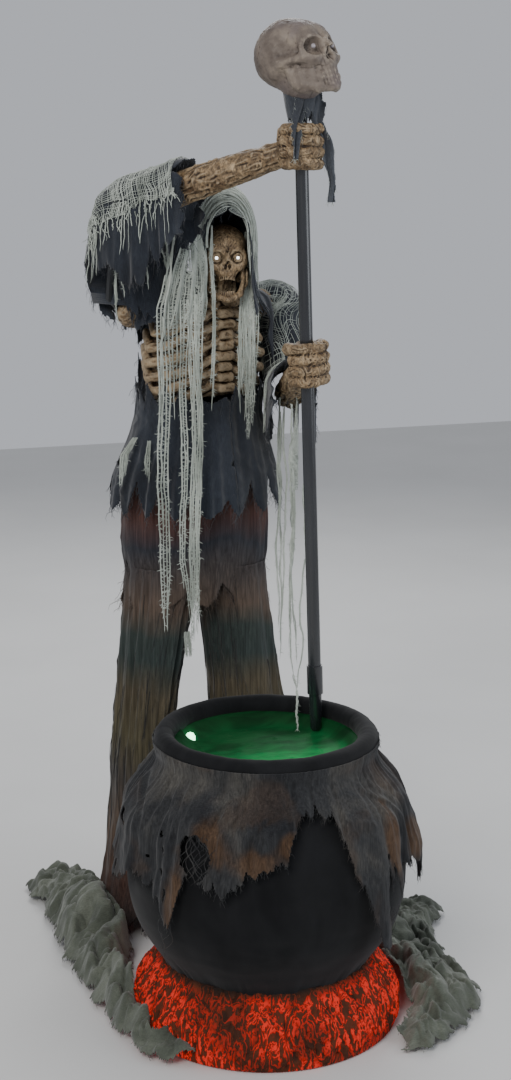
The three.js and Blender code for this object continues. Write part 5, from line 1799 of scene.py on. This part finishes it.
def drape_at(u, v):
    angle = u * 2 * math.pi
    z = DRAPE_TOP + (DRAPE_LOW - DRAPE_TOP) * v
    hang = spline(DRAPE, np.maximum(z, 0.345))[:, 0]
    hang = np.maximum(hang, pot_radius(np.clip(z, 0.14, 0.6)) + 0.006)
    gather = folds(angle, z * 2, 78, 341, 1)
    loose = folds(angle, z * 2.5, 30, 345, 1)
    free = smooth(z, 0.60, 0.50)
    where = np.stack([np.cos(angle) * 0.3, np.sin(angle) * 0.3, z], -1)
    slant = folds(angle + 0.35 * np.sin(angle * 3 + 1) * free, z * 1.2, 44, 343, 1)
    out = (gather * (0.0018 + 0.0050 * smooth(z, 0.615, 0.59) * smooth(z, 0.46, 0.54))
           + 0.009 * slant * smooth(z, 0.61, 0.55))
    out += loose * 0.011 * free + (fbm(where, 0.07, 347) - 0.42) * 0.022 * free
    radius = hang + out
    return np.stack([radius * np.cos(angle), radius * np.sin(angle), z], -1)


def build_drape():
    def keep(u, v, middle):
        degrees = np.degrees(np.arctan2(middle[:, 1], middle[:, 0]))
        z = middle[:, 2]
        hem = (np.interp(degrees, *np.transpose(HEM)) - 0.006 + 0.022 * torn(u, 61, 351)
               + 0.012 * torn(u, 157, 353))
        window = ((degrees + 135.5 + 30 * (z - 0.47)) / 6.5) ** 2 + ((z - 0.468) / 0.046) ** 2
        ragged = (fbm(middle, 0.02, 354) - 0.5) * 1.1
        slot = ((degrees + 56.5) / 1.4) ** 2 + ((z - 0.36) / 0.06) ** 2
        holes = fbm(middle, (0.030, 0.030, 0.055), 355)
        more_open = smooth(z, 0.52, 0.30) * 0.06
        torn_through = (holes > 0.775 - more_open) & (z < 0.57)
        return (z > hem) & (window + ragged > 1) & (slot > 1) & ~torn_through

    cloth = sheet("cauldron_gauze", drape_at, 900, 220, TORN, 0.0013, keep, around=True)
    points = corners_of(cloth)
    degrees = np.degrees(np.arctan2(points[:, 1], points[:, 0]))
    rust = sum(np.exp(-((degrees - at) / wide) ** 2 - ((points[:, 2] - z) / tall) ** 2)
               for at, z, wide, tall in RUST)
    store(cloth, "rust", smooth(rust + 0.5 * (fbm(points, 0.03, 359) - 0.5), 0.25, 0.75))
    edge = fringe("cauldron_gauze_fuzz", cloth, TORN, 0.5, 0.015, 357, 0.0004)
    strings = []
    rng = np.random.default_rng(361)
    for at, low, high, count in ((-145, 0.235, 0.33, 3), (-132, 0.415, 0.52, 7), (-137, 0.415, 0.52, 6),
                                 (-57, 0.246, 0.33, 5)):
        for _ in range(count):
            z = np.linspace(high, low + rng.uniform(0, 0.2) * (high - low), 16)
            v = (DRAPE_TOP - z) / (DRAPE_TOP - DRAPE_LOW)
            u = np.mod((at + rng.normal() * (1.5 if count < 6 else 3.5)
                        + 2.5 * np.sin(v * 30 + rng.uniform(0, 6))) / 360, 1)
            strings.append(drape_at(u, v))
    pale = threads("cauldron_gauze_threads", strings, rng.uniform(0.0005, 0.0010, len(strings)), TORN,
                   sides=4)
    for obj in (cloth, edge, pale):
        ride_as(obj, "base", "drape_gauze")
    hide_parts("cauldron_drape")


# ---------------------------------------------------------------- floor cloths

FLOOR = {
    "left": [(-0.375, 0.800), (-0.300, 0.858), (-0.262, 0.850), (-0.212, 0.700), (-0.205, 0.520),
             (-0.217, 0.330), (-0.266, 0.180), (-0.290, 0.020), (-0.272, -0.110), (-0.205, -0.212),
             (-0.290, -0.178), (-0.336, -0.060), (-0.356, 0.120), (-0.366, 0.300), (-0.372, 0.420),
             (-0.358, 0.560), (-0.358, 0.700), (-0.383, 0.740)],
    "right": [(0.300, 0.330), (0.400, 0.420), (0.470, 0.405), (0.527, 0.406), (0.580, 0.350),
              (0.545, 0.300), (0.520, 0.262), (0.482, 0.200), (0.474, 0.090), (0.487, -0.058),
              (0.452, -0.140), (0.403, -0.201), (0.340, -0.240), (0.271, -0.298), (0.205, -0.286),
              (0.262, -0.190), (0.288, -0.110), (0.294, -0.030), (0.292, 0.080), (0.278, 0.200)],
}
HEAPS = {  # x, y, how far it spreads each way, height
    "left": [(-0.265, 0.46, 0.085, 0.26, 0.088), (-0.300, 0.12, 0.05, 0.16, 0.045),
             (-0.285, -0.07, 0.05, 0.09, 0.030)],
    "right": [(0.340, 0.20, 0.08, 0.16, 0.060), (0.335, -0.05, 0.06, 0.13, 0.045),
              (0.35, -0.18, 0.08, 0.06, 0.022)],
}


def inside_distance(points, outline):
    """How far inside an outline each point is: negative outside."""
    outline = np.asarray(outline)
    a, b = outline, np.roll(outline, -1, axis=0)
    best = np.full(len(points), 9.0)
    within = np.zeros(len(points), bool)
    for (ax, ay), (bx, by) in zip(a, b):
        along = np.array((bx - ax, by - ay))
        t = np.clip(((points - (ax, ay)) @ along) / (along @ along), 0, 1)
        best = np.minimum(best, np.linalg.norm(points - (ax, ay) - t[:, None] * along, axis=1))
        crosses = (ay > points[:, 1]) != (by > points[:, 1])
        within ^= crosses & (points[:, 0] < (bx - ax) * (points[:, 1] - ay) / (by - ay + 1e-12) + ax)
    return np.where(within, best, -best)


def build_floor_cloth(side):
    outline = FLOOR[side]
    low, high = np.min(outline, axis=0) - 0.02, np.max(outline, axis=0) + 0.02
    seed = 370 if side == "left" else 390
    step = 0.0034

    def spots(u, v):
        """Where on the floor, the same with a height of 0, and how far inside the ragged outline."""
        at = low + np.stack([u, v], -1) * (high - low)
        flat_points = np.column_stack([at, at[:, 0] * 0])
        ragged = (fbm(flat_points, 0.045, seed) - 0.5) * 0.035
        return at, flat_points, inside_distance(at, outline) + ragged

    def place(u, v):
        at, flat_points, inner = spots(u, v)
        swirl = flat_points + np.column_stack([fbm(flat_points, 0.13, seed + 1) - 0.5,
                                               fbm(flat_points, 0.16, seed + 3) - 0.5,
                                               at[:, 0] * 0]) * (0.22, 0.10, 0)
        roll = np.sqrt(np.abs(2 * fbm(swirl, (0.055, 0.15, 1), seed + 2, 2) - 1) * 2.2 + 0.004)
        fine = np.abs(2 * fbm(swirl + roll[:, None] * 0.01, (0.022, 0.05, 1), seed + 4, 2) - 1) * 2
        by_ring = smooth(np.hypot(at[:, 0], at[:, 1]), 0.345, 0.300)
        bank = np.maximum(smooth(inner, -0.004, 0.034) ** 0.7, by_ring * smooth(inner, -0.03, 0.0))
        bank = 0.12 + 0.88 * bank
        bend = fbm(flat_points, 0.11, seed + 7) * 9 + 3 * fbm(flat_points, 0.035, seed + 9)
        lengthways = np.abs(np.sin(inner * 40 + bend)) ** 0.7
        z = 0.004 + bank * (0.006 + 0.016 * np.minimum(roll, 1.3) + 0.007 * fine + 0.018 * lengthways)
        for x, y, wide, long, tall in HEAPS[side]:
            z += tall * bank * np.exp(-((at[:, 0] - x) / wide) ** 2
                                      - ((at[:, 1] - y) / long) ** 2) * (0.6 + 0.5 * roll)
        side_pull = (fbm(flat_points + 0.4, 0.05, seed + 6) - 0.5)[:, None] * bank[:, None] * (0.03, 0.03)
        return np.column_stack([at + side_pull, np.maximum(z, 0.0022)])

    def keep(u, v, middle):
        _, flat_points, inner = spots(u, v)
        torn_in = np.clip(value_noise(flat_points, 0.02, seed + 8) - 0.55, 0, 1) * 0.03
        clear = np.hypot(middle[:, 0], middle[:, 1]) > 0.292
        return (inner - torn_in > 0) & clear

    columns, rows = int((high[0] - low[0]) / step), int((high[1] - low[1]) / step)
    cloth = sheet(f"floor_gauze_{side}", place, columns, rows, FLOOR_GAUZE, CLOTH_THICK, keep)
    edge = fringe(f"floor_gauze_{side}_fuzz", cloth, FLOOR_GAUZE, 0.3, 0.012, seed + 9, 0.0005)
    ride_as(cloth, "base", "floor_gauze", f"floor_cloth_{side}")
    ride_as(edge, "base", "floor_gauze")


build_trousers()
build_pulled_threads()
build_cover()
build_rim()
build_brew()
build_coals()
build_drape()
build_floor_cloth("left")
build_floor_cloth("right")
